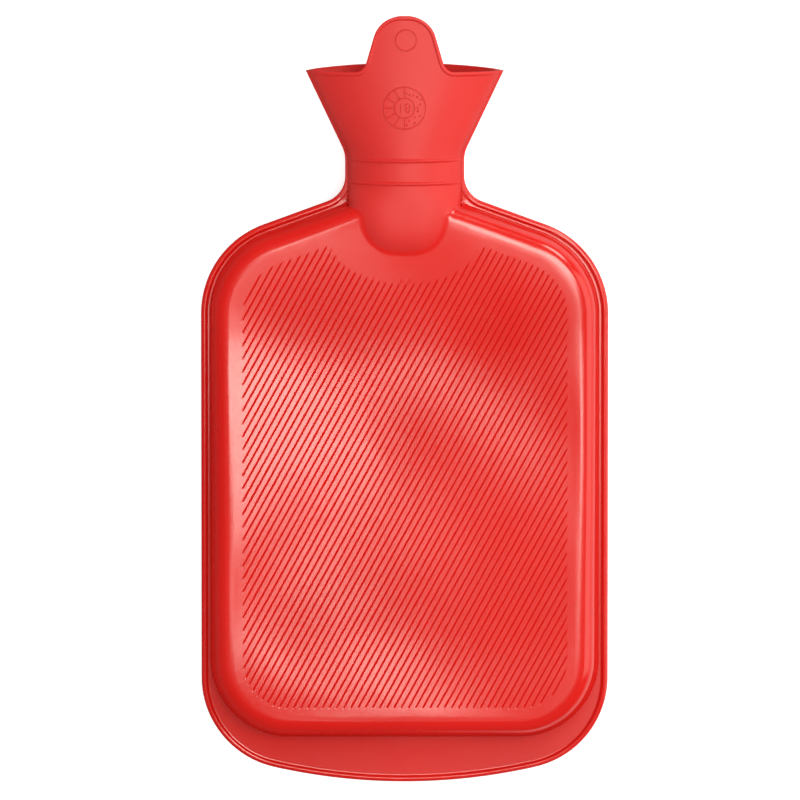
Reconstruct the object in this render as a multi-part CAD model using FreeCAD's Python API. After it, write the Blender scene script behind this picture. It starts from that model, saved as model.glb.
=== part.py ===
"""Two-litre rubber hot water bottle, lying on its back panel.

X is the width, Y runs from the bottom edge to the funnel and Z is up, in millimetres.
While it is built, Y is measured from the bottom edge and Z from the floor.
The finished solids are moved so that the origin is the middle of the footprint.
"""
import FreeCAD, Part
import math
import os

Vector = FreeCAD.Vector

# Seam outline
body_width = 200.0
bottom_arc_radius = 290.0
bottom_corner_radius = 45.7
shoulder_radius = 46.7
shoulder_slope = 20.0
shoulder_point = (46.8, 283.7)
neck_seam_half = 29.2
neck_fillet_radius = 13.3
flare_start_y = 310.7
flare_fillet_radius = 16.0
mouth_y = 351.8
mouth_seam_half = 48.8

# Flange and its bead
seam_z = 20.0
flange_thickness = 3.0
bead_width = 3.3
bead_thickness = 5.2
bead_bevel = 1.0
bead_end_y = 299.0

# Filled part of the body
wall = 2.3
pillow_side_inset = 4.3
pillow_shoulder_inset = 3.8
pillow_bottom_y = 22.4
pillow_corner_radius = 39.0
pillow_peak_radius = 12.0
pillow_draft = 12.0
front_height = 17.5
front_fall = 1.5
front_rounding = 6.0
back_bevel = 5.0

# Neck, with the dome under it and the flare above it as oval sections
seam_ridge = 1.2
neck_half_depth = 19.0
mouth_half_depth = 18.6
# Distance from the bottom edge, how much narrower and how much shallower than the neck
dome_steps = (
    (258.0, 19.8, 11.0),
    (260.0, 16.0, 7.7),
    (262.5, 9.5, 4.0),
    (264.8, 6.4, 2.5),
    (267.5, 4.0, 1.5),
    (275.0, 0.6, 0.3),
    (294.3, 0.0, 0.0),
)
# Distance from the bottom edge and how much wider than the neck
flare_steps = ((304.0, 0.0), (308.0, 0.15), (312.0, 0.9), (316.0, 2.4))
flare_strips = 5
neck_rib_ys = (296.8, 308.6)
neck_rib_width = 1.6
neck_rib_height = 0.7

# Funnel rim and the tab on its front
back_rim_rise = 2.3
tab_top_y = 379.7
tab_top_half = 12.2
tab_top_radius = 14.0
tab_base_half = 20.2
tab_base_radius = 6.0
rim_band_width = 1.8
rim_band_height = 0.6
rim_band_half = 45.0

# Diagonal grooves of the front panel
panel_inset = 16.0
panel_dome_gap = 12.8
panel_dome_side_gap = 19.0
groove_angle = 61.0
groove_spacing = 3.53
groove_start = (-50.5, 39.8)
groove_width = 0.9
groove_depth = 0.55

# Threaded socket moulded into the neck
collar_bottom_y = 291.0
collar_top_y = 313.2
socket_radius = 15.0
socket_bore_radius = 12.0
socket_foot_radius = 16.2
socket_foot_height = 2.5
bonding_gap = 0.02

# Screw stopper and its washer
stopper_clearance = 0.3
washer_thickness = 2.5
washer_radius = 14.6
shank_end_y = 291.5
shank_hollow_radius = 8.5
shank_hollow_top_y = 309.0
head_radius = 15.2
head_height = 4.0
grip_base_half = 13.5
grip_top_half = 11.5
grip_top_y = 345.0
grip_corner_radius = 7.0
grip_thickness = 6.0
grip_bevel = 1.4

# Sizes that follow from those above
half_width = body_width / 2
slope = math.radians(shoulder_slope)
shoulder_line = shoulder_point[0] * math.sin(slope) + shoulder_point[1] * math.cos(slope)
flare = math.atan2(mouth_seam_half - neck_seam_half, mouth_y - flare_start_y)
neck_half = neck_seam_half - seam_ridge
dome_sections = [(y, neck_half - narrower, neck_half_depth - shallower) for y, narrower, shallower in dome_steps]
flare_sections = [(y, neck_half + wider, neck_half_depth) for y, wider in flare_steps]
mouth_section = (mouth_y, mouth_seam_half - seam_ridge, mouth_half_depth)
dome_end_y = dome_sections[-1][0]
funnel_start_y = flare_sections[0][0]
beyond = 2 * tab_top_y


def box(low_y, high_y, low_z, high_z):
    """Block over the whole width between two distances along Y and two heights."""
    return Part.makeBox(2 * beyond, high_y - low_y, high_z - low_z, Vector(-beyond, low_y, low_z))


def rounded(corners, z=0.0):
    """Closed wire at height z through (x, y, radius) corners."""
    joints = []
    for i, (x, y, radius) in enumerate(corners):
        before, after = corners[i - 1], corners[(i + 1) % len(corners)]
        here = Vector(x, y, z)
        back = (Vector(before[0], before[1], z) - here).normalize()
        ahead = (Vector(after[0], after[1], z) - here).normalize()
        if radius == 0:
            joints.append((here, None, here))
            continue
        half_angle = back.getAngle(ahead) / 2
        inward = (back + ahead).normalize()
        middle = here + inward * (radius / math.sin(half_angle) - radius)
        tangent = radius / math.tan(half_angle)
        joints.append((here + back * tangent, middle, here + ahead * tangent))
    edges = []
    for i, (start, middle, end) in enumerate(joints):
        following = joints[(i + 1) % len(joints)][0]
        if middle is not None:
            edges.append(Part.Arc(start, middle, end).toShape())
        if not end.isEqual(following, 1e-6):
            edges.append(Part.LineSegment(end, following).toShape())
    return Part.Wire(edges)


def with_mirror(corners):
    """Corners of the right side, then the same ones on the left in reverse."""
    return list(corners) + [(-x, y, radius) for x, y, radius in reversed(corners) if x > 0]


def prism(wire, low_z, high_z):
    """Upright prism over a wire drawn at height 0."""
    return Part.Face(wire).extrude(Vector(0, 0, high_z - low_z)).translated(Vector(0, 0, low_z))


def shoulder_y(x, inset):
    """Distance along Y of the straight shoulder at x, moved inwards by inset."""
    return (shoulder_line - inset - x * math.sin(slope)) / math.cos(slope)


def on_circle(center, radius, angle):
    """Point on a circle, the angle measured from straight down."""
    return Vector(center[0] + radius * math.sin(angle), center[1] - radius * math.cos(angle), 0)


def bottom_edges(inset):
    """Bottom arc and the two corner arcs of the seam, from the left side to the right."""
    corner_x = half_width - bottom_corner_radius
    corner_y = bottom_arc_radius - math.sqrt((bottom_arc_radius - bottom_corner_radius) ** 2 - corner_x ** 2)
    turn = math.atan2(corner_x, bottom_arc_radius - corner_y)
    large, small = bottom_arc_radius - inset, bottom_corner_radius - inset
    middle = (turn + math.pi / 2) / 2
    edges = []
    for side in (-1, 1):
        center = (side * corner_x, corner_y)
        points = [on_circle(center, small, side * angle) for angle in (turn, middle, math.pi / 2)]
        edges.append(Part.Arc(*points).toShape())
    points = [on_circle((0, bottom_arc_radius), large, angle) for angle in (-turn, 0, turn)]
    edges.insert(1, Part.Arc(*points).toShape())
    return edges, corner_y


def seam_wire(inset):
    """Outline of the seam round the body, the neck and the funnel, moved inwards by inset."""
    lower, side_y = bottom_edges(inset)
    side = half_width - inset
    neck = neck_seam_half - inset
    mouth = mouth_seam_half - inset / math.cos(flare)
    upper = rounded(with_mirror([
        (side, side_y, 0),
        (side, shoulder_y(side, inset), shoulder_radius - inset),
        (neck, shoulder_y(neck, inset), neck_fillet_radius + inset),
        (neck, mouth_y - (mouth - neck) / math.tan(flare), flare_fillet_radius + inset),
        (mouth, mouth_y, 0),
    ]))
    sides = [edge for edge in upper.Edges if edge.BoundBox.YMax > side_y + bead_width]
    return Part.Wire(Part.sortEdges(lower + sides)[0])


def pillow_wire(inset, z):
    """Outline of the filled part, moved inwards by inset."""
    side = half_width - pillow_side_inset - inset
    depth = pillow_shoulder_inset + inset
    return rounded(with_mirror([
        (side, pillow_bottom_y + inset, pillow_corner_radius - inset),
        (side, shoulder_y(side, depth), shoulder_radius - depth),
        (0, shoulder_y(0, depth), pillow_peak_radius),
    ]), z)


def pillow_half(inset, height, fall):
    """One half of the filled part on the plane z = 0, its flat face falling towards the neck.

    The second value is the outline of that face, for its rounding or bevel.
    """
    tall = height + wall
    lean = tall * math.tan(math.radians(pillow_draft))
    block = Part.makeLoft([pillow_wire(inset, 0), pillow_wire(inset + lean, tall)], True, True)
    drop = beyond * math.tan(math.radians(fall))
    profile = Part.makePolygon([
        Vector(-half_width, pillow_bottom_y, -tall),
        Vector(-half_width, pillow_bottom_y, height),
        Vector(-half_width, pillow_bottom_y + beyond, height - drop),
        Vector(-half_width, pillow_bottom_y + beyond, -tall),
        Vector(-half_width, pillow_bottom_y, -tall),
    ])
    block = block.common(Part.Face(profile).extrude(Vector(body_width, 0, 0))).Solids[0]
    flat = max(block.Faces, key=lambda face: face.CenterOfMass.z)
    return block, flat.OuterWire.Edges


def joined(front, back):
    """The front half above the seam and the back half below it."""
    back = back.mirror(Vector(0, 0, 0), Vector(0, 0, 1))
    return front.fuse(back).translated(Vector(0, 0, seam_z))


def pillow():
    """Filled part of the body: rounded round its front panel, bevelled round the plain back one."""
    front, front_rim = pillow_half(0, front_height, front_fall)
    back, back_rim = pillow_half(0, seam_z, 0)
    return joined(front.makeFillet(front_rounding, front_rim), back.makeChamfer(back_bevel, back_rim))


def pillow_hollow():
    """Space for the water inside it, bevelled all round."""
    front, front_rim = pillow_half(wall, front_height - wall, front_fall)
    back, back_rim = pillow_half(wall, seam_z - wall, 0)
    return joined(
        front.makeChamfer(front_rounding - wall, front_rim), back.makeChamfer(back_bevel - wall / 2, back_rim)
    )


def oval(y, half_x, half_z):
    """Oval wire across the neck, centred on the seam, starting at its right side."""
    center = Vector(0, y, seam_z)
    across = Vector(half_x, 0, 0)
    top = center + Vector(0, 0, half_z)
    if half_x >= half_z:
        return Part.Wire(Part.Ellipse(center + across, top, center).toShape())
    return Part.Wire(Part.Ellipse(top, center - across, center).toShape(-math.pi / 2, 1.5 * math.pi))


def oval_bar(low_y, high_y, half_x, half_z):
    """Straight oval bar along Y."""
    return Part.Face(oval(low_y, half_x, half_z)).extrude(Vector(0, high_y - low_y, 0))


def dome():
    """Rounded end of the neck inside the body."""
    return Part.makeLoft([oval(y, half_x, half_z) for y, half_x, half_z in dome_sections], True, False)


def dome_hollow():
    """Space inside the dome, in straight strips, up to the collar."""
    first_y = dome_sections[0][0]
    wires = []
    for y, half_x, half_z in dome_sections:
        shift = wall * (dome_end_y - y) / (dome_end_y - first_y)
        wires.append(oval(y + shift, half_x - wall, half_z - wall))
    return Part.makeLoft(wires, True, True).common(box(0, collar_bottom_y, 0, beyond))


def mouth_bar(grow):
    """The mouth's oval carried straight on past the rim, for the tab."""
    y, half_x, half_z = mouth_section
    return oval_bar(y, tab_top_y + wall, half_x + grow, half_z + grow)


def straight_flare(low, high):
    """Straight-sided oval solid between two sections, in strips that mesh lightly."""
    wires = []
    for i in range(flare_strips + 1):
        share = i / flare_strips
        wires.append(oval(*[a + (b - a) * share for a, b in zip(low, high)]))
    return Part.makeLoft(wires, True, True)


def grown(section, grow):
    """The same section with both half-sizes larger."""
    return section[0], section[1] + grow, section[2] + grow


def funnel(grow):
    """Funnel with its sides carried straight on past the rim."""
    flare = Part.makeLoft([oval(*grown(section, grow)) for section in flare_sections], True, False)
    sides = straight_flare(grown(flare_sections[-1], grow), grown(mouth_section, grow))
    return flare.fuse([sides, mouth_bar(grow)])


def funnel_hollow():
    """Straight-sided space inside the funnel, from the collar up."""
    low = (collar_top_y, flare_sections[2][1] - wall, flare_sections[2][2] - wall)
    return straight_flare(low, grown(mouth_section, -wall)).fuse(mouth_bar(-wall))


def front_edge_corners():
    """Right half of the funnel's front edge with its tab, from the mouth corner inwards."""
    lean = math.atan2(tab_base_half - tab_top_half, tab_top_y - mouth_y)
    full_round = tab_top_half * math.tan((math.pi / 2 + lean) / 2)
    return [
        (mouth_seam_half + wall, mouth_y, 0),
        (tab_base_half, mouth_y, tab_base_radius),
        (tab_top_half, tab_top_y, min(tab_top_radius, full_round)),
    ]


def front_face():
    """Face below the funnel's front edge, tab included."""
    foot = [(mouth_seam_half + wall, collar_top_y, 0)]
    return Part.Face(rounded(with_mirror(foot + front_edge_corners())))


def rim_waste():
    """What is cut away above the funnel's rim: level at the front, slightly arched at the back."""
    front = box(mouth_y, beyond, seam_z, beyond)
    tab = front_face().extrude(Vector(0, 0, beyond))
    left = Vector(-mouth_seam_half, mouth_y, 0)
    right = Vector(mouth_seam_half, mouth_y, 0)
    arch = Part.Arc(left, Vector(0, mouth_y + back_rim_rise, 0), right).toShape()
    top = Part.makePolygon([right, Vector(mouth_seam_half, beyond, 0), Vector(-mouth_seam_half, beyond, 0), left])
    back = prism(Part.Wire([arch] + top.Edges), -beyond, seam_z)
    return front.cut(tab).fuse(back)


def rim_band():
    """Raised band along the funnel's front edge and round the tab."""
    face = front_face()
    inner = face.makeOffset2D(-rim_band_width)
    band = face.cut(inner).extrude(Vector(0, 0, beyond))
    width = Part.makeBox(
        2 * rim_band_half, beyond, beyond, Vector(-rim_band_half, mouth_y - rim_band_width - 1e-3, seam_z)
    )
    return band.common(width).common(funnel(rim_band_height))


def bead():
    """Raised bevelled bead round the edge of the body's flange."""
    low, high = seam_z - bead_thickness / 2, seam_z + bead_thickness / 2
    ring = prism(seam_wire(0), low, high).cut(prism(seam_wire(bead_width), low, high))
    ring = ring.common(box(-beyond, bead_end_y, low, high)).Solids[0]
    rims = [edge for edge in ring.Edges if edge.BoundBox.ZLength < 1e-3 and edge.BoundBox.YMin < bead_end_y - 1]
    return ring.makeChamfer(bead_bevel, rims)


def groove(start, end):
    """V-shaped bar along the front face from start to end."""
    along = end - start
    across = Vector(0, 0, 1).cross(along).normalize()
    up = along.cross(across).normalize()
    spread = groove_width / groove_depth
    corners = [
        start - up * groove_depth,
        start + up * groove_depth + across * spread * groove_depth,
        start + up * groove_depth - across * spread * groove_depth,
    ]
    return Part.Face(Part.makePolygon(corners + corners[:1])).extrude(along)


def dome_panel_limit():
    """Faces over and round the dome that the grooves stay out of."""
    half_x = neck_half + panel_dome_side_gap
    half_y = dome_end_y - dome_sections[1][0] + panel_dome_gap
    circle = Part.Circle(Vector(0, dome_end_y, 0), Vector(0, 0, 1), half_x)
    stretch = FreeCAD.Matrix()
    stretch.scale(1, half_y / half_x, 1)
    curve = Part.Wire(circle.toShape()).transformGeometry(stretch)
    shift = dome_end_y * (1 - half_y / half_x)
    above = Part.makePlane(2 * half_x, half_y, Vector(-half_x, dome_end_y, 0))
    return [Part.Face(curve).translated(Vector(0, shift, 0)), above]


def grooves():
    """All grooves, clipped to the panel and laid on the falling front face."""
    panel = Part.Face(pillow_wire(panel_inset, 0)).cut(dome_panel_limit())
    angle = math.radians(groove_angle)
    run = Vector(math.cos(angle), math.sin(angle), 0) * beyond
    fall = math.tan(math.radians(front_fall))
    count = int(beyond / groove_spacing)
    bars = []
    for i in range(-count, count):
        start = Vector(groove_start[0] + i * groove_spacing, groove_start[1], 0)
        line = Part.LineSegment(start - run, start + run).toShape()
        for edge in panel.common(line).Edges:
            if edge.Length < groove_spacing:
                continue
            ends = []
            for vertex in edge.Vertexes:
                x, y = vertex.X, vertex.Y
                ends.append(Vector(x, y, seam_z + front_height - (y - pillow_bottom_y) * fall))
            bars.append(groove(ends[0], ends[1]))
    return bars


def cylinder(radius, low_y, high_y):
    """Round bar on the neck's axis."""
    return Part.makeCylinder(radius, high_y - low_y, Vector(0, low_y, seam_z), Vector(0, 1, 0))


def bottle_body():
    """The moulded rubber piece: walls, flange, neck, funnel and tab, with the hollow cut out of it."""
    half_flange = flange_thickness / 2
    outside = pillow().fuse([
        prism(seam_wire(0), seam_z - half_flange, seam_z + half_flange),
        bead(),
        dome(),
        oval_bar(dome_end_y, funnel_start_y, neck_half, neck_half_depth),
        funnel(0),
    ])
    rib_half, rib_half_depth = flare_sections[1][1] + neck_rib_height, neck_half_depth + neck_rib_height
    for y in neck_rib_ys:
        outside = outside.fuse(oval_bar(y - neck_rib_width / 2, y + neck_rib_width / 2, rib_half, rib_half_depth))
    outside = outside.fuse(rim_band())
    hollow = pillow_hollow().fuse([
        dome_hollow(),
        cylinder(socket_radius + bonding_gap, collar_bottom_y - wall, collar_top_y + wall),
        funnel_hollow(),
    ])
    return outside.cut(hollow).cut(rim_waste()).cut(Part.makeCompound(grooves()))


def neck_socket():
    """Threaded bush in the collar, its foot held under it."""
    foot_y = collar_bottom_y - socket_foot_height
    bush = cylinder(socket_radius, foot_y, collar_top_y)
    bush = bush.fuse(cylinder(socket_foot_radius, foot_y, collar_bottom_y))
    return bush.cut(cylinder(socket_bore_radius, foot_y, collar_top_y)).removeSplitter()


def stopper_washer():
    """Flat rubber ring between the socket and the stopper's head."""
    top_y = collar_top_y + washer_thickness
    return cylinder(washer_radius, collar_top_y, top_y).cut(cylinder(socket_bore_radius, collar_top_y, top_y))


def stopper():
    """Screw stopper: hollow shank, round head and a flat grip."""
    head_y = collar_top_y + washer_thickness
    head_top_y = head_y + head_height
    shank = cylinder(socket_bore_radius - stopper_clearance, shank_end_y, head_y)
    head = cylinder(head_radius, head_y, head_top_y)
    grip = prism(rounded(with_mirror([
        (grip_base_half, head_top_y - head_height / 2, 0),
        (grip_top_half, grip_top_y, grip_corner_radius),
    ])), seam_z - grip_thickness / 2, seam_z + grip_thickness / 2)
    rims = [edge for edge in grip.Edges if edge.BoundBox.ZLength < 1e-3 and edge.BoundBox.YMax > head_top_y]
    grip = grip.makeChamfer(grip_bevel, rims)
    hollow = cylinder(shank_hollow_radius, shank_end_y, shank_hollow_top_y)
    return shank.fuse([head, grip]).cut(hollow).removeSplitter()


def export(name, shape):
    """Write one node, moved so that the origin is the middle of the footprint."""
    placed = shape.translated(Vector(0, -tab_top_y / 2, 0))
    placed.exportStep("parts/" + name + ".step")


os.makedirs("parts", exist_ok=True)
export("bottle_body", bottle_body())
export("neck_socket", neck_socket())
export("stopper_washer", stopper_washer())
export("stopper", stopper())
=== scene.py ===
"""Dresses the rubber hot water bottle: the grooved body, its stopper, socket and washer, and the stage.

Lengths inside the shape functions are millimetres, y measured from the bottom edge of the bottle
and h from the moulding seam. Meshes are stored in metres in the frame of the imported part.
"""
import math
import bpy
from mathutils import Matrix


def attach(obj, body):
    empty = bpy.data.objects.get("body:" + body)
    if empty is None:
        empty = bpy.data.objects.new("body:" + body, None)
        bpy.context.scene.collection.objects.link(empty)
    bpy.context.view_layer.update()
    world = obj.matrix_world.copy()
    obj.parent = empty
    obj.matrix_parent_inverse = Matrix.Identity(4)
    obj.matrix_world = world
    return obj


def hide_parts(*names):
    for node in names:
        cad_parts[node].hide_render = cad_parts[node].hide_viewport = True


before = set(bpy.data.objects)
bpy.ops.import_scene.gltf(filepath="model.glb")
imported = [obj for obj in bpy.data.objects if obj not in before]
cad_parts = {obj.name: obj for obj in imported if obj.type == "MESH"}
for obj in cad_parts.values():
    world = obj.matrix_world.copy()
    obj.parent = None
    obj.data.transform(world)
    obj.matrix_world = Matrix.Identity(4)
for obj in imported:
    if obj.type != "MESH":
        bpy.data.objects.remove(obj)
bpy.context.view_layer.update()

from types import SimpleNamespace

import bmesh
import bpy
import numpy as np
from bpy.props import FloatProperty, FloatVectorProperty, IntProperty, PointerProperty
from mathutils import Vector
from mathutils.geometry import delaunay_2d_cdt

bl_info = {
    "name": "Hot Water Bottle",
    "version": (1, 0, 0),
    "blender": (4, 5, 0),
    "location": "View3D > Sidebar > Bottle",
    "description": "Builds the looks of a rubber hot water bottle around its packed solids",
    "category": "Object",
}


def length(name, description, millimetres):
    return FloatProperty(
        name=name, description=description, default=millimetres / 1000, unit="LENGTH", precision=5
    )


def degrees(name, description, value):
    return FloatProperty(name=name, description=description, default=math.radians(value), subtype="ANGLE")


def factor(name, description, value):
    return FloatProperty(name=name, description=description, default=value, min=0, max=1, subtype="FACTOR")


def colour(name, description, value):
    return FloatVectorProperty(
        name=name, description=description, default=value, subtype="COLOR", size=3, min=0.0, max=1.0
    )


class BottleSizes(bpy.types.PropertyGroup):
    """Sizes of the moulded body, lengths along it from its bottom edge"""

    total_length: length("Length", "Overall length with the tab", 379.7)
    seam_z: length("Seam height", "Height of the moulding seam over the floor", 20.0)
    half_width: length("Half width", "Half of the body's width", 100.0)
    bottom_arc: length("Bottom arc", "Radius of the bottom edge", 290.0)
    bottom_corner: length("Bottom corner", "Radius of the flange's bottom corners", 45.7)
    shoulder_arc: length("Shoulder arc", "Radius of the shoulders", 46.7)
    shoulder_x: length("Shoulder point X", "A point on the straight shoulder, from the middle", 46.8)
    shoulder_y: length("Shoulder point Y", "A point on the straight shoulder, from the bottom", 283.7)
    neck_seam: length("Neck seam", "Half-width of the neck with its seam ridge", 29.2)
    neck_fillet: length("Neck fillet", "Radius between shoulder and neck", 13.3)
    flare_fillet: length("Flare fillet", "Radius between neck and funnel", 16.0)
    tab_end: length("Tab end", "Top of the tab over the bottom edge", 379.0)
    mouth_y: length("Mouth", "Distance of the funnel's rim from the bottom edge", 351.3)
    mouth_seam: length("Mouth half-width", "Half-width of the funnel's mouth", 48.6)
    pillow_side: length("Side inset", "Flange width at the sides", 4.3)
    pillow_shoulder: length("Shoulder inset", "Flange width at the shoulders", 3.8)
    pillow_bottom: length("Bottom inset", "Where the filled part starts over the bottom edge", 22.4)
    pillow_corner: length("Filled corner", "Bottom corner radius of the filled part", 39.0)
    front_height: length("Front height", "Height of the front panel over the seam, near the bottom", 17.2)
    front_limit: length("Front limit", "Greatest height of the front panel over the seam", 19.4)
    dish: length("Dish", "How much higher the front panel is at its sides", 4.8)
    bottom_rise_y: length("Bottom rise end", "Where the front panel stops falling from its bottom edge", 70.0)
    top_rise_reach: length("Top rise reach", "Distance from the dome where the panel starts to rise", 80.0)
    front_rounding: length("Front rounding", "Edge radius of the front panel", 7.5)
    back_rounding: length("Back rounding", "Edge radius of the back panel", 7.5)
    flange_half: length("Flange half", "Half of the flange's thickness", 1.5)
    bead_half: length("Bead half", "Half of the bead's thickness", 2.6)
    bead_width: length("Bead width", "Width of the bead", 3.3)
    ridge_half: length("Ridge half", "Half of the seam ridge's thickness on the neck", 1.3)
    ridge_width: length("Ridge width", "How far the seam ridge stands out", 1.2)
    neck_half_depth: length("Neck depth", "Half of the neck's depth", 18.8)
    mouth_half_depth: length("Mouth depth", "Half of the mouth's depth", 18.6)
    dome_top: length("Dome start", "Where the dome starts under the neck", 294.3)
    dome_reach: length("Dome reach", "Length of the dome", 37.3)
    rib_low: length("Lower rib", "Place of the lower neck rib", 296.8)
    rib_high: length("Upper rib", "Place of the upper neck rib", 308.0)
    rib_width: length("Rib width", "Width of a neck rib", 1.6)
    rib_height: length("Rib height", "Height of a neck rib", 0.85)
    back_rise: length("Back rise", "How far the back rim arches up", 2.3)
    wall: length("Wall", "Wall of the funnel", 2.3)
    tab_base: length("Tab base", "Half-width of the tab at the rim", 20.2)
    tab_base_fillet: length("Tab fillet", "Radius where the tab leaves the rim", 6.0)
    tab_top: length("Tab top", "Half-width of the tab's top corners", 12.2)
    tab_arc: length("Tab arc", "Radius of the tab's top corners", 14.0)
    band_width: length("Band width", "Width of the raised band on the front edge", 1.8)
    band_height: length("Band height", "Height of the raised band", 0.6)
    collar_y: length("Collar", "Floor of the funnel", 313.2)
    bore: length("Collar bore", "Radius of the hole for the socket", 15.02)
    bore_end: length("Collar foot", "Where the collar ends inside", 291.0)
    panel_inset: length("Panel inset", "Distance of the grooves from the foot of the filled part", 16.0)
    panel_dome_x: length("Panel dome width", "Half-width of the ungrooved field round the dome", 46.5)
    panel_dome_y: length("Panel dome length", "Length of the ungrooved field round the dome", 47.1)
    groove_spacing: length("Groove spacing", "Distance between grooves along X", 3.53)
    groove_x: length("Groove X", "A point on one groove, across", -50.5)
    groove_y: length("Groove Y", "A point on one groove, along", 39.8)
    groove_half: length("Groove half", "Half-width of a groove", 0.42)
    groove_depth: length("Groove depth", "Depth of a groove", 0.38)
    groove_fade: length("Groove fade", "How far inside the panel's edge a groove is full", 0.7)
    dial_y: length("Dial", "Centre of the moulded dial", 334.0)
    dial_outer: length("Dial outer ring", "Radius of the dial's outer ring", 10.3)
    dial_inner: length("Dial inner ring", "Radius of the dial's inner ring", 4.9)
    dial_figure: length("Dial figure", "Height of the figures in the dial", 4.2)
    dial_dot: length("Dial dot", "Radius of a dot on the dial", 0.45)
    tab_ring_x: length("Tab ring X", "Centre of the ring on the tab, across", 0.7)
    tab_ring_y: length("Tab ring Y", "Centre of the ring on the tab, along", 367.2)
    tab_ring: length("Tab ring radius", "Radius of the ring on the tab", 5.1)
    mark_half: length("Mark half", "Half-width of the raised lines", 0.30)
    shoulder_slope: degrees("Shoulder slope", "Slope of the straight shoulders", 20.0)
    flare_slope: degrees("Flare slope", "Slope of the funnel's sides", 25.5)
    draft: degrees("Draft", "Lean of the walls of the filled part", 12.0)
    front_fall: degrees("Front fall", "Fall of the front panel towards the neck", 1.7)
    bottom_rise: degrees("Bottom rise", "Fall of the front panel from its bottom edge", 2.9)
    top_rise: degrees("Top rise", "Rise of the front panel at the neck", 5.9)
    groove_angle: degrees("Groove angle", "Angle of the grooves from X", 61.0)
    dial_step: degrees("Dial step", "Angle between the spokes of the dial", 30.0)
    dial_spokes: IntProperty(name="Dial spokes", description="Number of spokes on the dial", default=7, min=0)
    dial_dots: IntProperty(name="Dial dots", description="Number of dots on the dial", default=13, min=1)


class StopperSizes(bpy.types.PropertyGroup):
    """Sizes of the socket, the washer and the stopper"""

    socket: length("Socket", "Outer radius of the socket", 15.0)
    bore: length("Bore", "Radius of the socket's bore", 12.0)
    foot: length("Foot", "Radius of the socket's foot", 16.2)
    foot_y: length("Foot end", "Where the socket's foot ends", 288.5)
    foot_top_y: length("Foot top", "Upper face of the socket's foot", 291.0)
    top_y: length("Socket top", "Upper face of the socket", 313.2)
    washer: length("Washer", "Outer radius of the washer", 14.6)
    seat: length("Seat", "Clearance over and under the washer", 0.03)
    head_y: length("Head", "Underside of the stopper's head, on the washer", 315.7)
    head_top_y: length("Head top", "Upper face of the stopper's head", 319.7)
    head: length("Head radius", "Radius of the stopper's head", 15.2)
    shank_y: length("Shank end", "Lower end of the shank", 291.5)
    shank: length("Shank", "Radius of the shank over its thread", 11.7)
    hollow: length("Hollow", "Radius of the hollow in the shank", 8.5)
    hollow_y: length("Hollow end", "Where the hollow ends", 309.0)
    pitch: length("Pitch", "Rise of the thread in a turn", 4.0)
    thread: length("Thread", "Depth of the thread", 1.2)
    socket_thread: length("Socket thread", "Depth of the thread in the socket", 0.9)
    grip_base: length("Grip base", "Half-width of the grip at the head", 13.5)
    grip_base_y: length("Grip foot", "Where the grip starts inside the head", 317.7)
    grip_top: length("Grip top", "Half-width of the grip at its end", 11.5)
    grip_y: length("Grip end", "End of the grip", 345.0)
    grip_corner: length("Grip corner", "Radius of the grip's corners", 7.0)
    grip_half: length("Grip half", "Half of the grip's thickness over its ribs", 3.0)
    rib_y: length("First rib", "Place of the first grip rib", 325.0)
    rib_spacing: length("Rib spacing", "Distance between the grip ribs", 3.4)
    rib_half: length("Rib half", "Half-length of a grip rib", 8.5)
    rib_radius: length("Rib radius", "Radius of a grip rib", 1.0)
    ribs: IntProperty(name="Ribs", description="Number of ribs on each side of the grip", default=5, min=0)


def in_millimetres(sizes):
    """All lengths of the property group in millimetres, its angles in radians."""
    values = {}
    for key, prop in sizes.bl_rna.properties.items():
        if key in ("rna_type", "name"):
            continue
        value = getattr(sizes, key)
        values[key] = value * 1000 if getattr(prop, "unit", "NONE") == "LENGTH" else value
    return SimpleNamespace(**values)


def counter(spacing):
    """Gives the number of steps of about this spacing in a length."""
    return lambda size: max(2, int(round(size / spacing)))


def unit(angle):
    return np.array([math.cos(angle), math.sin(angle)])


def arc_points(center, radius, start, end, count):
    angles = np.linspace(start, end, count + 1)[:-1]
    return np.stack([center[0] + radius * np.cos(angles), center[1] + radius * np.sin(angles)], 1)


def line_points(start, end, count):
    share = np.linspace(0, 1, count + 1)[:-1, None]
    return np.asarray(start) * (1 - share) + np.asarray(end) * share


def smooth_max(a, b, k):
    return np.maximum(a, b) + np.maximum(k - np.abs(a - b), 0) ** 2 / (4 * k)


def smooth_step(low, high, x):
    """Smooth change from 0 at low to 1 at high, which may be the smaller one."""
    t = np.clip((x - low) / (high - low), 0, 1)
    return t * t * (3 - 2 * t)


def soft_part(value, softness):
    """The value where it is positive and nothing elsewhere, with a soft bend between them."""
    return 0.5 * (value + np.sqrt(value ** 2 + softness))


def mirror(points):
    return np.stack([-points[::-1, 0], points[::-1, 1]], 1)


# Powers of the rounded forms, from 2 for an ellipse up to a box
BEAD_POWER = 2.4
FIELD_POWER = 2.2
DOME_WIDTH_POWER = 2.6
DOME_DEPTH_POWER = 5
# How softly two surfaces run into each other
BEAD_BLEND = 0.25
LIMIT_BLEND = 1.5
FLANGE_BLEND = 1.0
DOME_BLEND = 1.6
BACK_BLEND = 0.01
# Softness of the bends where the front panel starts to rise
TOP_BEND = 200
BOTTOM_BEND = 300
# Other shares and places that only the shape functions need
FLARE_START = 316
RIB_FOOT = 0.62
RIB_TOP = 0.8
RIDGE_FOOT = 0.6
DISH_MIDDLE = 0.15
RISE_WIDTH = 0.45
RIPPLE_EDGE = (3.0, 14.0)
BAND_START = 8
BAND_EDGE = (-0.35, 0.15)
EDGE_FALL = 0.35
EDGE_ROUND = 0.5
FAR_INSIDE = 60.0
ON_SEAM = 0.02


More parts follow.
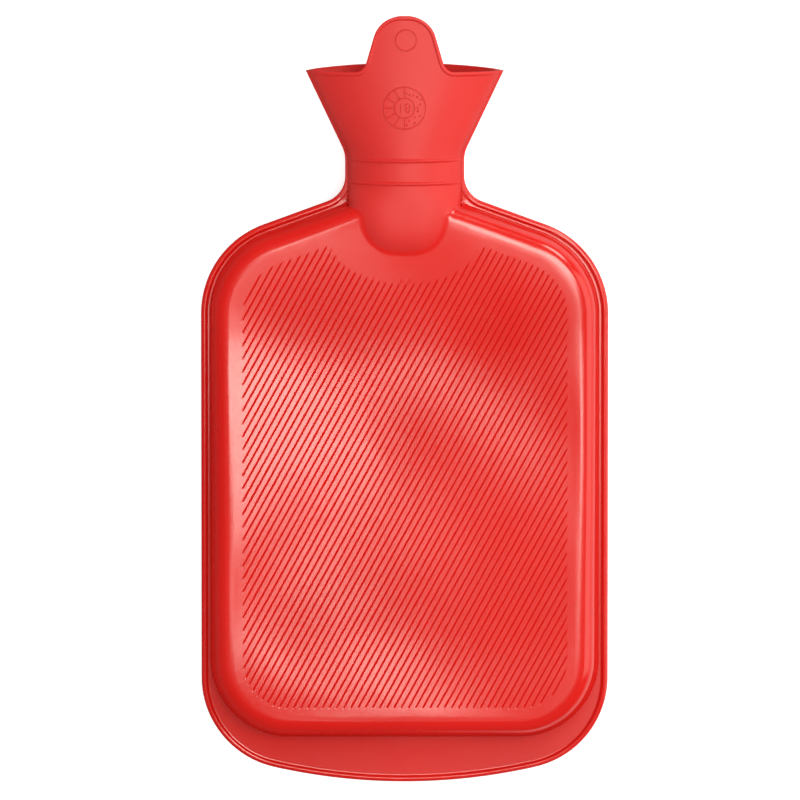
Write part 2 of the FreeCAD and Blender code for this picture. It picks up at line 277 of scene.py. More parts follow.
class Form:
    """The bottle's outlines and surfaces as functions of x and y."""

    def __init__(self, sizes):
        g = self.g = in_millimetres(sizes)
        a = g.shoulder_slope
        self.normal = np.array([math.sin(a), math.cos(a)])
        self.line = g.shoulder_x * self.normal[0] + g.shoulder_y * self.normal[1]
        self.corner_x = g.half_width - g.bottom_corner
        self.corner_y = g.bottom_arc - math.sqrt((g.bottom_arc - g.bottom_corner) ** 2 - self.corner_x ** 2)
        self.turn = math.atan2(self.corner_x, g.bottom_arc - self.corner_y)
        self.arc_x = g.half_width - g.shoulder_arc
        self.arc_y = (self.line - g.shoulder_arc - self.arc_x * self.normal[0]) / self.normal[1]
        self.neck_x = g.neck_seam + g.neck_fillet
        self.neck_y = (self.line + g.neck_fillet - self.neck_x * self.normal[0]) / self.normal[1]
        self.flare_x = g.neck_seam + g.flare_fillet
        self.flare_corner_y = g.mouth_y - (g.mouth_seam - g.neck_seam) / math.tan(g.flare_slope)
        self.flare_y = self.flare_corner_y - g.flare_fillet * math.tan(g.flare_slope / 2)
        self.side = g.half_width - g.pillow_side
        self.pillow_x, self.pillow_y = self.side - g.pillow_corner, g.pillow_bottom + g.pillow_corner
        self.pillow_line = self.line - g.pillow_shoulder
        self.pillow_arc = g.shoulder_arc - g.pillow_shoulder
        self.pillow_arc_x = self.side - self.pillow_arc
        above = self.pillow_line - self.pillow_arc - self.pillow_arc_x * self.normal[0]
        self.pillow_arc_y = above / self.normal[1]
        self.lean = math.atan2(g.tab_base - g.tab_top, g.tab_end - g.mouth_y)
        tangent = math.tan((math.pi / 2 - self.lean) / 2)
        self.tab_base_x = g.tab_base + g.tab_base_fillet * tangent
        self.tab_base_y = g.mouth_y + g.tab_base_fillet
        self.tab_top_x, self.tab_top_y = g.tab_top - g.tab_arc * tangent, g.tab_end - g.tab_arc

    # Outlines, from the bottom middle up the right side, where count takes a stretch's rough length
    def seam_path(self, inset, spacing=2.0):
        """The seam moved inwards, as its part up to the neck and its part from there to the mouth."""
        g = self.g
        slope = math.pi / 2 - g.shoulder_slope
        side, neck = g.half_width - inset, g.neck_seam - inset
        tangent = np.array([self.arc_x, self.arc_y]) + unit(slope) * (g.shoulder_arc - inset)
        neck_center = np.array([self.neck_x, self.neck_y])
        start = neck_center - unit(slope) * (g.neck_fillet + inset)
        flare_center = np.array([self.flare_x, self.flare_y])
        flare_end = flare_center + unit(math.pi - g.flare_slope) * (g.flare_fillet + inset)
        mouth_x = g.mouth_seam - inset / math.cos(g.flare_slope)
        collar = math.asin((g.collar_y - self.flare_y) / (g.flare_fillet + inset))
        count = counter(spacing)
        low = -math.pi / 2 + self.turn
        body = [
            arc_points((0, g.bottom_arc), g.bottom_arc - inset, -math.pi / 2, low, count(64)),
            arc_points((self.corner_x, self.corner_y), g.bottom_corner - inset, low, 0, count(70)),
            line_points((side, self.corner_y), (side, self.arc_y), count(150)),
            arc_points((self.arc_x, self.arc_y), g.shoulder_arc - inset, 0, slope, count(57)),
            line_points(tangent, start, count(30)),
            arc_points(neck_center, g.neck_fillet + inset, slope + math.pi, math.pi, count(24)),
        ]
        upper = [
            line_points((neck, self.neck_y), (neck, self.flare_y), count(16)),
            arc_points(flare_center, g.flare_fillet + inset, math.pi, math.pi - collar, count(10)),
            arc_points(flare_center, g.flare_fillet + inset, math.pi - collar, math.pi - g.flare_slope, 1),
            line_points(flare_end, (mouth_x, g.mouth_y), count(62)),
            np.array([[mouth_x, g.mouth_y]]),
        ]
        return np.concatenate(body), np.concatenate(upper)

    def pillow_path(self, inset, spacing):
        """The foot of the filled part, moved inwards."""
        g = self.g
        side, bottom = self.side - inset, g.pillow_bottom + inset
        arc, radius = (self.pillow_arc_x, self.pillow_arc_y), self.pillow_arc - inset
        slope = math.pi / 2 - g.shoulder_slope
        tangent = np.array(arc) + unit(slope) * radius
        top = (self.pillow_line - inset) / self.normal[1]
        count = counter(spacing)
        return np.concatenate([
            line_points((0, bottom), (self.pillow_x, bottom), count(56)),
            arc_points((self.pillow_x, self.pillow_y), g.pillow_corner - inset, -math.pi / 2, 0, count(60)),
            line_points((side, self.pillow_y), (side, self.pillow_arc_y), count(170)),
            arc_points(arc, radius, 0, slope, count(52)),
            line_points(tangent, (0, top), count(72)),
        ])

    def edge_path(self, inset, spacing=1.2):
        """Right half of the funnel's front edge and tab, from the mouth corner to the tab's top."""
        g = self.g
        lean, edge = self.lean, g.tab_end - inset
        base_center = np.array([self.tab_base_x, self.tab_base_y])
        top_center = np.array([self.tab_top_x, self.tab_top_y])
        radius = g.tab_base_fillet + inset
        fillet_end = base_center + unit(math.pi + lean) * radius
        top_start = top_center + unit(lean) * (g.tab_arc - inset)
        corner_x = g.mouth_seam - inset * math.tan(g.flare_slope)
        count = counter(spacing)
        return np.concatenate([
            line_points((corner_x, g.mouth_y - inset), (base_center[0], g.mouth_y - inset), count(22)),
            arc_points(base_center, radius, -math.pi / 2, -math.pi + lean, count(8)),
            line_points(fillet_end, top_start, count(16)),
            arc_points(top_center, g.tab_arc - inset, lean, math.pi / 2, count(18)),
            line_points((top_center[0], edge), (0, edge), 2),
            np.array([[0, edge]]),
        ])

    # Distances
    def seam_inset(self, x, y):
        """Distance inwards from the seam outline, exact near it."""
        g = self.g
        x = np.abs(x)
        out = np.minimum(g.half_width - x, FAR_INSIDE)
        in_arc = np.arctan2(x, g.bottom_arc - y) < self.turn
        corner = g.bottom_corner - np.hypot(x - self.corner_x, y - self.corner_y)
        beside = np.where(x > self.corner_x, corner, FAR_INSIDE)
        bottom = np.where(in_arc, g.bottom_arc - np.hypot(x, y - g.bottom_arc), beside)
        out = np.where(y < self.corner_y, bottom, out)
        slope = math.pi / 2 - g.shoulder_slope
        above = y > self.arc_y
        angle = np.arctan2(y - self.arc_y, x - self.arc_x)
        shoulder = g.shoulder_arc - np.hypot(x - self.arc_x, y - self.arc_y)
        out = np.where(above & (angle < slope), shoulder, out)
        straight = self.line - x * self.normal[0] - y * self.normal[1]
        out = np.where(above & (angle >= slope), straight, out)
        neck_angle = np.arctan2(y - self.neck_y, x - self.neck_x)
        in_neck = (neck_angle < -slope) & (neck_angle > -math.pi) & (x < self.neck_x)
        in_neck &= above & (y < self.neck_y) & (neck_angle < slope - math.pi)
        out = np.where(in_neck, np.hypot(x - self.neck_x, y - self.neck_y) - g.neck_fillet, out)
        out = np.where((y >= self.neck_y) & (y < self.flare_y), g.neck_seam - x, out)
        flare_angle = np.arctan2(y - self.flare_y, x - self.flare_x)
        arc = np.hypot(x - self.flare_x, y - self.flare_y) - g.flare_fillet
        flat = g.neck_seam + (y - self.flare_corner_y) * math.tan(g.flare_slope) - x
        flat = flat * math.cos(g.flare_slope)
        return np.where(y >= self.flare_y, np.where(flare_angle > math.pi - g.flare_slope, arc, flat), out)

    def pillow_inset(self, x, y):
        """Distance inwards from the foot of the filled part."""
        g = self.g
        x = np.abs(x)
        straight = self.pillow_line - x * self.normal[0] - y * self.normal[1]
        out = np.minimum(np.minimum(self.side - x, y - g.pillow_bottom), straight)
        corner = g.pillow_corner - np.hypot(x - self.pillow_x, y - self.pillow_y)
        out = np.where((x > self.pillow_x) & (y < self.pillow_y), corner, out)
        angle = np.arctan2(y - self.pillow_arc_y, x - self.pillow_arc_x)
        shoulder = self.pillow_arc - np.hypot(x - self.pillow_arc_x, y - self.pillow_arc_y)
        turning = (angle > 0) & (angle < math.pi / 2 - g.shoulder_slope)
        return np.where((y > self.pillow_arc_y) & turning, shoulder, out)

    def edge_inset(self, x, y):
        """Distance inwards from the funnel's front edge and tab."""
        g = self.g
        x = np.abs(x)
        base_x, base_y, top_x, top_y = self.tab_base_x, self.tab_base_y, self.tab_top_x, self.tab_top_y
        rim = g.mouth_y - y
        side = (g.tab_base - x) * math.cos(self.lean) - (y - g.mouth_y) * math.sin(self.lean)
        fillet = np.hypot(x - base_x, y - base_y) - g.tab_base_fillet
        top = np.where(x < top_x, g.tab_end - y, g.tab_arc - np.hypot(x - top_x, y - top_y))
        angle = np.arctan2(y - base_y, x - base_x)
        in_fillet = (angle < -math.pi / 2) & (angle > self.lean - math.pi)
        out = np.where(x > base_x, rim, np.where(in_fillet, fillet, side))
        top_angle = np.arctan2(y - top_y, x - top_x)
        return np.where((top_angle > self.lean) & (y > top_y), top, out)

    def panel_distance(self, x, y):
        """Positive inside the grooved panel, in millimetres near its edge."""
        g = self.g
        over, along = np.abs(x / g.panel_dome_x), np.abs((y - g.dome_top) / g.panel_dome_y)
        dome = ((over ** FIELD_POWER + along ** FIELD_POWER) ** (1 / FIELD_POWER) - 1) * g.panel_dome_y
        return np.minimum(self.pillow_inset(x, y) - g.panel_inset, dome)

    # Surfaces
    def section(self, y):
        """Half-width and half-depth of the dome, neck and funnel at y."""
        g = self.g
        t = np.clip((g.dome_top - y) / g.dome_reach, 0, 1)
        seam = np.where(
            y < self.flare_y, g.neck_seam,
            np.where(
                y < self.flare_y + g.flare_fillet * math.sin(g.flare_slope),
                self.flare_x - np.sqrt(np.maximum(g.flare_fillet ** 2 - (y - self.flare_y) ** 2, 0)),
                g.neck_seam + (np.minimum(y, g.mouth_y) - self.flare_corner_y) * math.tan(g.flare_slope),
            ),
        )
        half_x = (seam - g.ridge_width) * np.sqrt(np.maximum(1 - t ** DOME_WIDTH_POWER, 0))
        widening = smooth_step(FLARE_START, g.mouth_y, y)
        depth = g.neck_half_depth + (g.mouth_half_depth - g.neck_half_depth) * widening
        half_z = depth * np.sqrt(np.maximum(1 - t ** DOME_DEPTH_POWER, 0))
        from_rib = np.minimum(np.abs(y - g.rib_low), np.abs(y - g.rib_high))
        rib = smooth_step(0.0, RIB_TOP, 1 - from_rib / (g.rib_width * RIB_FOOT)) * g.rib_height
        return half_x, half_z, rib

    def oval(self, x, y):
        """Height of the dome, neck and funnel over the seam plane."""
        g = self.g
        half_x, half_z, rib = self.section(y)
        half_x = np.maximum(half_x, 1e-3)
        share = np.abs(x) / half_x
        # The neck is an ellipse across, and the dome is boxier
        power = 2 + smooth_step(g.dome_top + 2, g.dome_top - 12, y)
        bow = np.maximum(1 - share ** power, 0) ** (1 / power)
        height = half_z * bow + rib * np.sqrt(np.maximum(1 - share ** 6, 0))
        return np.where(share < 1, height, -3 * (np.abs(x) - half_x))

    def pillow_height(self, inset, top, rounding):
        """Drafted wall, round edge and flat top at a distance inwards."""
        g = self.g
        tan, cos = math.tan(g.draft), math.cos(g.draft)
        center = (top - rounding) * tan + rounding / cos
        start = center - rounding * cos
        curve = top - rounding + np.sqrt(np.maximum(rounding ** 2 - (center - inset) ** 2, 0))
        out = np.where(inset < start, inset / tan, np.where(inset < center, curve, top))
        return np.where(inset < 0, inset * 3, out)

    def flange(self, x, y):
        """Flange with its bead, and the thin seam ridge of the neck and funnel."""
        g = self.g
        inset = self.seam_inset(x, y)
        u = np.clip(np.abs(inset - g.bead_width / 2) / (g.bead_width / 2), 0, 1)
        bead = g.bead_half * (1 - u ** BEAD_POWER) ** (1 / BEAD_POWER)
        web = np.where(inset > g.bead_width / 2, g.flange_half, 0)
        body = np.where(inset > g.bead_width / 2, smooth_max(bead, web, BEAD_BLEND), bead)
        v = np.clip(1 - inset / (g.ridge_width * RIDGE_FOOT), 0, 1)
        ridge = g.ridge_half * (1 - v ** BEAD_POWER) ** (1 / BEAD_POWER)
        neck = smooth_step(g.dome_top - 16, g.dome_top + 4, y)
        return body * (1 - neck) + ridge * neck

    def ripple(self, x, y):
        """Slow unevenness of the moulded rubber, as waves of different lengths."""
        return (
            0.25 * np.sin(x / 17.0 + 0.7 * np.sin(y / 31.0)) * np.sin(y / 23.0 + 1.1)
            + 0.05 * np.sin(x / 11.5 - y / 19.0 + 2.0)
            + 0.05 * np.sin(x / 13.0 + y / 15.5)
        )

    def filled(self, x, y):
        """Height of the filled part's front panel and its walls."""
        g = self.g
        top = g.front_height - (y - g.pillow_bottom) * math.tan(g.front_fall)
        top = top + g.dish * ((x / g.half_width) ** 2 - DISH_MIDDLE)
        to_dome = g.top_rise_reach - np.hypot(RISE_WIDTH * x, y - g.dome_top)
        top = top + math.tan(g.top_rise) * soft_part(to_dome, TOP_BEND)
        top = top + math.tan(g.bottom_rise) * soft_part(g.bottom_rise_y - y, BOTTOM_BEND)
        top = -smooth_max(-top, -g.front_limit, LIMIT_BLEND)
        inset = self.pillow_inset(x, y)
        pillow = self.pillow_height(inset, top, g.front_rounding)
        return pillow + self.ripple(x, y) * smooth_step(*RIPPLE_EDGE, inset)

    def neck_share(self, x, y):
        """1 on the dome, neck and funnel and 0 on the filled part, with a soft edge."""
        g = self.g
        above = smooth_step(g.dome_top - g.dome_reach - 3, g.dome_top - g.dome_reach, y)
        return smooth_step(-1.0, 2.0, self.oval(x, y) - self.filled(x, y)) * above

    def front(self, x, y):
        """Height of the whole front over the seam plane."""
        g = self.g
        height = smooth_max(self.flange(x, y), self.filled(x, y), FLANGE_BLEND)
        height = smooth_max(height, self.oval(x, y), DOME_BLEND)
        height = np.where(self.seam_inset(x, y) < ON_SEAM, 0.0, height)
        edge = self.edge_inset(x, y)
        upper = y > g.collar_y + BAND_START
        low, high = (g.band_width + shift for shift in BAND_EDGE)
        band = g.band_height * (1 - smooth_step(low, high, edge))
        soft = -EDGE_FALL * (1 - np.clip(edge / EDGE_ROUND, 0, 1)) ** 2
        side = smooth_step(0.5, 3.0, self.seam_inset(x, y) - g.ridge_width)
        return height + np.where(upper, (band + soft) * side, 0)

    def back(self, x, y):
        """Depth of the whole back under the seam plane."""
        g = self.g
        inset = self.pillow_inset(x, y)
        pillow = self.pillow_height(inset, g.seam_z, g.back_rounding)
        height = smooth_max(self.flange(x, y), pillow, BACK_BLEND)
        height = np.maximum(height, np.minimum(self.oval(x, y), g.seam_z - 0.3))
        return np.where(self.seam_inset(x, y) < ON_SEAM, 0.0, np.minimum(height, g.seam_z))

    def seam_half(self, y):
        """Half-width of the seam outline at the neck and funnel."""
        return float(self.section(np.array([max(y, self.g.dome_top)]))[0][0]) + self.g.ridge_width

    def back_inset(self, x, y):
        """Distance under the back rim."""
        g = self.g
        return g.mouth_y + g.back_rise * (1 - (x / g.mouth_seam) ** 2) - y

    def inner(self, x, y):
        """Inner wall of the funnel under the outer point (x, y)."""
        g = self.g
        half_x, half_z, _ = self.section(y)
        inside_x = half_x - g.wall
        inner_x = x * inside_x / (half_x + g.ridge_width)
        share = np.clip(np.abs(inner_x) / inside_x, 0, 1)
        share = np.where(self.seam_inset(x, y) < ON_SEAM, 1, share)
        return inner_x, (half_z - g.wall) * np.sqrt(1 - share ** 2)


class Sheet:
    """Points and constraint lines of one triangulated sheet."""

    def __init__(self):
        self.points = []
        self.edges = []
        self.size = 0

    def add(self, points, closed=False, linked=True, keep=None):
        points = np.asarray(points, float)
        if keep is None:
            keep = np.ones(len(points), bool)
        index = np.full(len(points), -1)
        index[keep] = self.size + np.arange(keep.sum())
        self.points.append(points[keep])
        self.size += int(keep.sum())
        if linked:
            pairs = list(zip(index[:-1], index[1:]))
            if closed:
                pairs.append((index[-1], index[0]))
            self.edges += [(int(a), int(b)) for a, b in pairs if a >= 0 and b >= 0]
        return index

    def triangles(self, boundary):
        points = np.concatenate(self.points)
        verts = [Vector((float(x), float(y))) for x, y in points]
        face = [int(i) for i in boundary]
        result = delaunay_2d_cdt(verts, self.edges, [face], 1, 1e-5)
        return np.array([tuple(v) for v in result[0]]), np.array([tuple(f) for f in result[2]])


# The moulded body
# Distances of the mesh lines inwards from the seam, the filled part's foot and the funnel's edge
SEAM_RINGS = (0.25, 0.6, 1.1, 1.65, 2.2, 2.7, 3.05, 3.3, 3.8)
RIDGE_RINGS = (0.15, 0.4, 0.8, 1.2, 1.25, 1.35, 1.55, 1.9, 2.4, 3.1, 4.0, 5.2, 6.7, 8.5)
PILLOW_RINGS = (0.0, 0.15, 0.4, 0.8, 1.3, 1.9, 2.5, 3.1, 3.8, 4.6, 5.6, 6.8, 8.2, 10.0, 12.5, 15.5)
EDGE_RINGS = (0.15, 0.4, 0.8, 1.3, 1.6, 1.8, 2.0, 2.4, 3.0)
RIB_LINES = (-1.1, -0.8, -0.5, -0.25, 0.0, 0.25, 0.5, 0.8, 1.1)
# Clearance of the lines across the neck from its seam
MARGIN = 0.22
# Ends of the line that each groove is cut from, and how many are tried each way
GROOVE_REACH = (-260, 420)
GROOVE_COUNT = 90
# Lines along a groove, in half-widths from its middle, and points of each line from its ends
GROOVE_LINES = (-1.4, -1.05, -0.5, 0.0, 0.5, 1.05, 1.4)
GROOVE_ENDS = (0.0, 0.35, 0.7, 1.1, 1.7)
# Where the even points between the ends start, how far apart they are, and a groove too short for them
GROOVE_EVEN = 2.8
GROOVE_STEP = 3.2
GROOVE_SHORT = 7
# Ends of the fields that the inner points of the panel, neck and funnel are laid in
FIELD = (-92, 92, 26, 280)
NECK_FIELD = (-31, 31)
FUNNEL_FIELD = (-48, 48)
# Steps of those fields, coarser on the back
PANEL_STEP = 5.0
NECK_STEP = 0.85
FUNNEL_STEP = 1.0
BACK_PANEL_STEP = 8.0
BACK_NECK_STEP = 1.6
# How far those points keep from the seam, from the foot of the filled part and from the grooves
CLEARANCE = 1.3
FOOT_CLEARANCE = 12
GROOVE_CLEARANCE = 1.5
# Spacing of the points along the filled part's lines, front and back, and across the neck
FRONT_SPACING = 2.0
BACK_SPACING = 3.0
NECK_SPACING = 1.1
# How far a line may come to the seam or the rim before it stops
LINE_END = 0.3
DOME_GAP = 0.6
# How far under the dome the neck's fields start
UNDER_DOME = 4


def both_sides(sheet, path, keep=None):
    """Adds a line and its mirror image, without the points that aren't kept."""
    sheet.add(path, keep=keep)
    sheet.add(mirror(path), keep=None if keep is None else keep[::-1])


def across(form, y):
    """Points across the neck or funnel at y, a little inside its seam."""
    half = form.seam_half(y) - MARGIN
    xs = np.linspace(-half, half, max(4, int(2 * half / NECK_SPACING)))
    return np.stack([xs, np.full(len(xs), y)], 1)


def grid(low_x, high_x, low_y, high_y, step):
    """Points of a triangular grid."""
    points = []
    for j, y in enumerate(np.arange(low_y, high_y, step * 0.87)):
        xs = np.arange(low_x + (j % 2) * step / 2, high_x, step)
        points.append(np.stack([xs, np.full(len(xs), y)], 1))
    return np.concatenate(points)


def single(points):
    """Coordinates as the triangulation gives them back, in single precision."""
    return points.astype(np.float32).astype(float)


def shared_outline(form):
    """Right half of the seam, with the same points for the front and the back."""
    body, upper = form.seam_path(0.0)
    return single(np.concatenate([body, upper]))


def closed_outline(form, rim):
    """The seam up the right side, the rim from right to left, the seam down the left side."""
    right = shared_outline(form)
    left = mirror(right)[1:-1]
    return np.concatenate([right, rim[1:], left])


def add_common(sheet, form, pillow_spacing):
    """Rings and lines that both halves need for the flange, the filled part and the neck."""
    g = form.g
    for inset in SEAM_RINGS:
        body, upper = form.seam_path(inset)
        both_sides(sheet, np.concatenate([body, upper[:1]]))
    for inset in RIDGE_RINGS:
        body, upper = form.seam_path(inset)
        path = np.concatenate([body[(body[:, 1] > g.dome_top - 10) & (body[:, 0] < 60)], upper])
        both_sides(sheet, path, keep=path[:, 1] < g.mouth_y - LINE_END)
    for inset in PILLOW_RINGS:
        path = form.pillow_path(inset, pillow_spacing)
        half_x, _, _ = form.section(path[:, 1])
        under = path[:, 1] < g.dome_top - g.dome_reach - DOME_GAP
        keep = (np.abs(path[:, 0]) > half_x + DOME_GAP) | under
        both_sides(sheet, path, keep=keep)
    for rib in (g.rib_low, g.rib_high):
        for shift in RIB_LINES:
            sheet.add(across(form, rib + shift))
    corner = shared_outline(form)
    corner = corner[np.argmin(np.abs(corner[:, 1] - g.collar_y) + (corner[:, 0] > 60) * 100)]
    line = across(form, g.collar_y)
    sheet.add(np.concatenate([mirror(corner[None]), line, corner[None]]))


def free_points(form, points, outside_edge=None):
    """Those points that keep clear of the outline."""
    keep = form.seam_inset(points[:, 0], points[:, 1]) > CLEARANCE
    if outside_edge is not None:
        keep &= outside_edge(points[:, 0], points[:, 1]) > 0.5
    return points[keep]


def groove_runs(form):
    """Each groove as (line number, start, end) along its direction."""
    g = form.g
    direction = unit(g.groove_angle)
    side = np.array([direction[1], -direction[0]])
    origin = np.array([g.groove_x, g.groove_y])
    pitch = g.groove_spacing * math.sin(g.groove_angle)
    us = np.arange(*GROOVE_REACH, 0.1)
    runs = []
    for k in range(-GROOVE_COUNT, GROOVE_COUNT):
        points = origin + side * (k * pitch) + us[:, None] * direction
        inside = form.panel_distance(points[:, 0], points[:, 1]) > -0.3
        edges = np.flatnonzero(np.diff(inside.astype(int)))
        for low, high in zip(edges[::2], edges[1::2]):
            if us[high] - us[low] > g.groove_spacing:
                runs.append((k, us[low], us[high]))
    return runs, origin, direction, side, pitch


def add_grooves(sheet, form):
    """Lines along each groove, so that the mesh can take its section and its ends."""
    runs, origin, direction, side, pitch = groove_runs(form)
    half = form.g.groove_half
    ends = np.array(GROOVE_ENDS)
    for k, low, high in runs:
        us = np.linspace(low, high, 8)
        if high - low > GROOVE_SHORT:
            count = max(2, int((high - low - 2 * GROOVE_EVEN) / GROOVE_STEP))
            middle = np.linspace(low + GROOVE_EVEN, high - GROOVE_EVEN, count)
            us = np.concatenate([low + ends, middle, (high - ends)[::-1]])
        for offset in GROOVE_LINES:
            sheet.add(origin + side * (k * pitch + offset * half) + us[:, None] * direction)
        sheet.add(origin + side * ((k + 0.5) * pitch) + us[:, None] * direction, linked=False)


def front_sheet(form):
    """Triangles of the whole front, seen from above."""
    g = form.g
    sheet = Sheet()
    boundary = sheet.add(closed_outline(form, front_rim(form)), closed=True)
    add_common(sheet, form, FRONT_SPACING)
    for inset in EDGE_RINGS:
        path = form.edge_path(inset)
        both_sides(sheet, path, keep=form.seam_inset(path[:, 0], path[:, 1]) > LINE_END)
    add_grooves(sheet, form)
    dome = grid(*NECK_FIELD, g.dome_top - g.dome_reach - UNDER_DOME, g.collar_y, NECK_STEP)
    sheet.add(free_points(form, dome), linked=False)
    upper = grid(*FUNNEL_FIELD, g.collar_y, g.tab_end, FUNNEL_STEP)
    sheet.add(free_points(form, upper, form.edge_inset), linked=False)
    panel = grid(*FIELD, PANEL_STEP)
    plain = form.panel_distance(panel[:, 0], panel[:, 1]) < -GROOVE_CLEARANCE
    plain &= form.pillow_inset(panel[:, 0], panel[:, 1]) > FOOT_CLEARANCE
    sheet.add(panel[plain], linked=False)
    return sheet.triangles(boundary)


def front_rim(form):
    """The front rim with its tab, from the right corner to the left."""
    edge = single(form.edge_path(0.0))
    return np.concatenate([edge, mirror(edge)[1:]])


def back_arc(form):
    """The slightly arched back rim, from the right corner to the left."""
    g = form.g
    radius = (g.mouth_seam ** 2 + g.back_rise ** 2) / (2 * g.back_rise)
    center_y = g.mouth_y + g.back_rise - radius
    turn = math.asin(g.mouth_seam / radius)
    angles = np.linspace(math.pi / 2 - turn, math.pi / 2 + turn, 81)
    points = np.stack([radius * np.cos(angles), center_y + radius * np.sin(angles)], 1)
    points[0] = (g.mouth_seam, g.mouth_y)
    points[-1] = (-g.mouth_seam, g.mouth_y)
    return single(points)


def back_sheet(form):
    """Triangles of the whole back, coarser where it is plain."""
    g = form.g
    sheet = Sheet()
    boundary = sheet.add(closed_outline(form, back_arc(form)), closed=True)
    add_common(sheet, form, BACK_SPACING)
    for inset in EDGE_RINGS[:4]:
        path = back_arc(form) - np.array([0, inset])
        sheet.add(path, keep=form.seam_inset(path[:, 0], path[:, 1]) > LINE_END)
    neck = grid(*FUNNEL_FIELD, g.dome_top - g.dome_reach - UNDER_DOME, g.mouth_y, BACK_NECK_STEP)
    sheet.add(free_points(form, neck, form.back_inset), linked=False)
    panel = grid(*FIELD, BACK_PANEL_STEP)
    sheet.add(panel[form.pillow_inset(panel[:, 0], panel[:, 1]) > FOOT_CLEARANCE], linked=False)
    return sheet.triangles(boundary)


# Steps of a millimetre that points are told apart by
MERGE_STEPS = 2e4


class Solid:
    """Vertices in millimetres and faces, merged where they meet."""

    def __init__(self):
        self.vertices = []
        self.faces = []
        self.lookup = {}

    def index(self, point):
        key = tuple(int(round(v * MERGE_STEPS)) for v in point)
        if key not in self.lookup:
            self.lookup[key] = len(self.vertices)
            self.vertices.append(tuple(float(v) for v in point))
        return self.lookup[key]

    def add(self, points, faces):
        index = {i: self.index(points[i]) for i in sorted({int(i) for face in faces for i in face})}
        for face in faces:
            corners = list(dict.fromkeys(index[int(i)] for i in face))
            if len(corners) > 2:
                self.faces.append(corners)

    def mesh(self, name, drop, lift):
        """A mesh in metres, moved down the long axis by drop and up by lift."""
        mesh = bpy.data.meshes.new(name)
        where = [(x / 1000, (y - drop) / 1000, (h + lift) / 1000) for x, y, h in self.vertices]
        mesh.from_pydata(where, [], self.faces)
        mesh.validate()
        return mesh


def stacked(points, heights):
    return np.concatenate([points, np.asarray(heights)[:, None]], 1)


def strip(solid, first, second):
    """Quads between two rows of as many points."""
    count = len(first)
    points = np.concatenate([first, second])
    solid.add(points, [(i, i + 1, count + i + 1, count + i) for i in range(count - 1)])


def ring_at(center_y, radius, angles):
    return np.stack([radius * np.cos(angles), np.full(len(angles), center_y), radius * np.sin(angles)], 1)


def add_funnel_inside(solid, form, halves):
    """Inner wall of the funnel under both halves, its rims, and its floor with the bore for the socket."""
    g = form.g
    floor = []
    for points, faces, sign in halves:
        upper = points[:, 1] > g.collar_y - 1e-4
        inner_x, inner_h = form.inner(points[:, 0], points[:, 1])
        inside = np.stack([inner_x, points[:, 1], sign * inner_h], 1)
        chosen = faces[upper[faces].all(1)]
        solid.add(inside, chosen[:, ::-1] if sign > 0 else chosen)
        row = inside[np.abs(points[:, 1] - g.collar_y) < 1e-4]
        floor.append(row[np.argsort(row[:, 0])])
    for rim, height, sign in ((front_rim(form), form.front, 1), (back_arc(form), form.back, -1)):
        outer = stacked(rim, sign * height(rim[:, 0], rim[:, 1]))
        inner_x, inner_h = form.inner(rim[:, 0], rim[:, 1])
        strip(solid, outer, np.stack([inner_x, rim[:, 1], sign * inner_h], 1))
    loop = np.concatenate([floor[0][::-1], floor[1][1:]])
    angles = np.unwrap(np.arctan2(loop[:, 2], loop[:, 0]))
    angles[-1] = angles[0] + 2 * math.pi
    bore = ring_at(g.collar_y, g.bore, angles)
    foot = ring_at(g.bore_end, g.bore, angles)
    strip(solid, loop, bore)
    strip(solid, bore, foot)
    solid.add(foot[:-1], [tuple(range(len(foot) - 1))])


def body_mesh(form):
    """The whole moulded piece as one closed mesh, without its grooves."""
    solid = Solid()
    front, front_faces = front_sheet(form)
    back, back_faces = back_sheet(form)
    solid.add(stacked(front, form.front(front[:, 0], front[:, 1])), front_faces)
    solid.add(stacked(back, -form.back(back[:, 0], back[:, 1])), back_faces[:, ::-1])
    add_funnel_inside(solid, form, ((front, front_faces, 1), (back, back_faces, -1)))
    mesh = solid.mesh("bottle_rubber", form.g.total_length / 2, form.g.seam_z)
    face_outwards(mesh)
    where = np.array(solid.vertices)
    panel = form.panel_distance(where[:, 0], where[:, 1])
    set_attribute(mesh, "panel_distance", np.where(where[:, 2] > 3, panel, -5) / 1000)
    set_attribute(mesh, "neck", form.neck_share(where[:, 0], where[:, 1]))
    return mesh


def set_attribute(mesh, name, values):
    """Gives each point of the mesh a number."""
    attribute = mesh.attributes.new(name, "FLOAT", "POINT")
    attribute.data.foreach_set("value", values.astype(np.float32))


def face_outwards(mesh):
    """Turns all faces outwards and stops if the mesh isn't closed."""
    work = bmesh.new()
    work.from_mesh(mesh)
    open_edges = sum(1 for edge in work.edges if len(edge.link_faces) != 2)
    if open_edges:
        raise RuntimeError(f"{mesh.name} has {open_edges} open edges")
    bmesh.ops.recalc_face_normals(work, faces=work.faces)
    work.to_mesh(mesh)
    work.free()


# Node trees
# Foot and middle of a groove in half-widths, and foot and crest of a thread in turns
GROOVE_SECTION = (1.05, -0.25)
THREAD_SECTION = (0.12, 0.36)
# Rings of the figure 8 and stem of the 1, in shares of their height
RING_SIZE = 0.25
RING_PLACE = 0.36
STEM_PLACE = -0.45
# How far the dots keep from the inner and the outer ring, in metres
DOT_INNER_GAP = 0.0012
DOT_OUTER_GAP = 0.0010


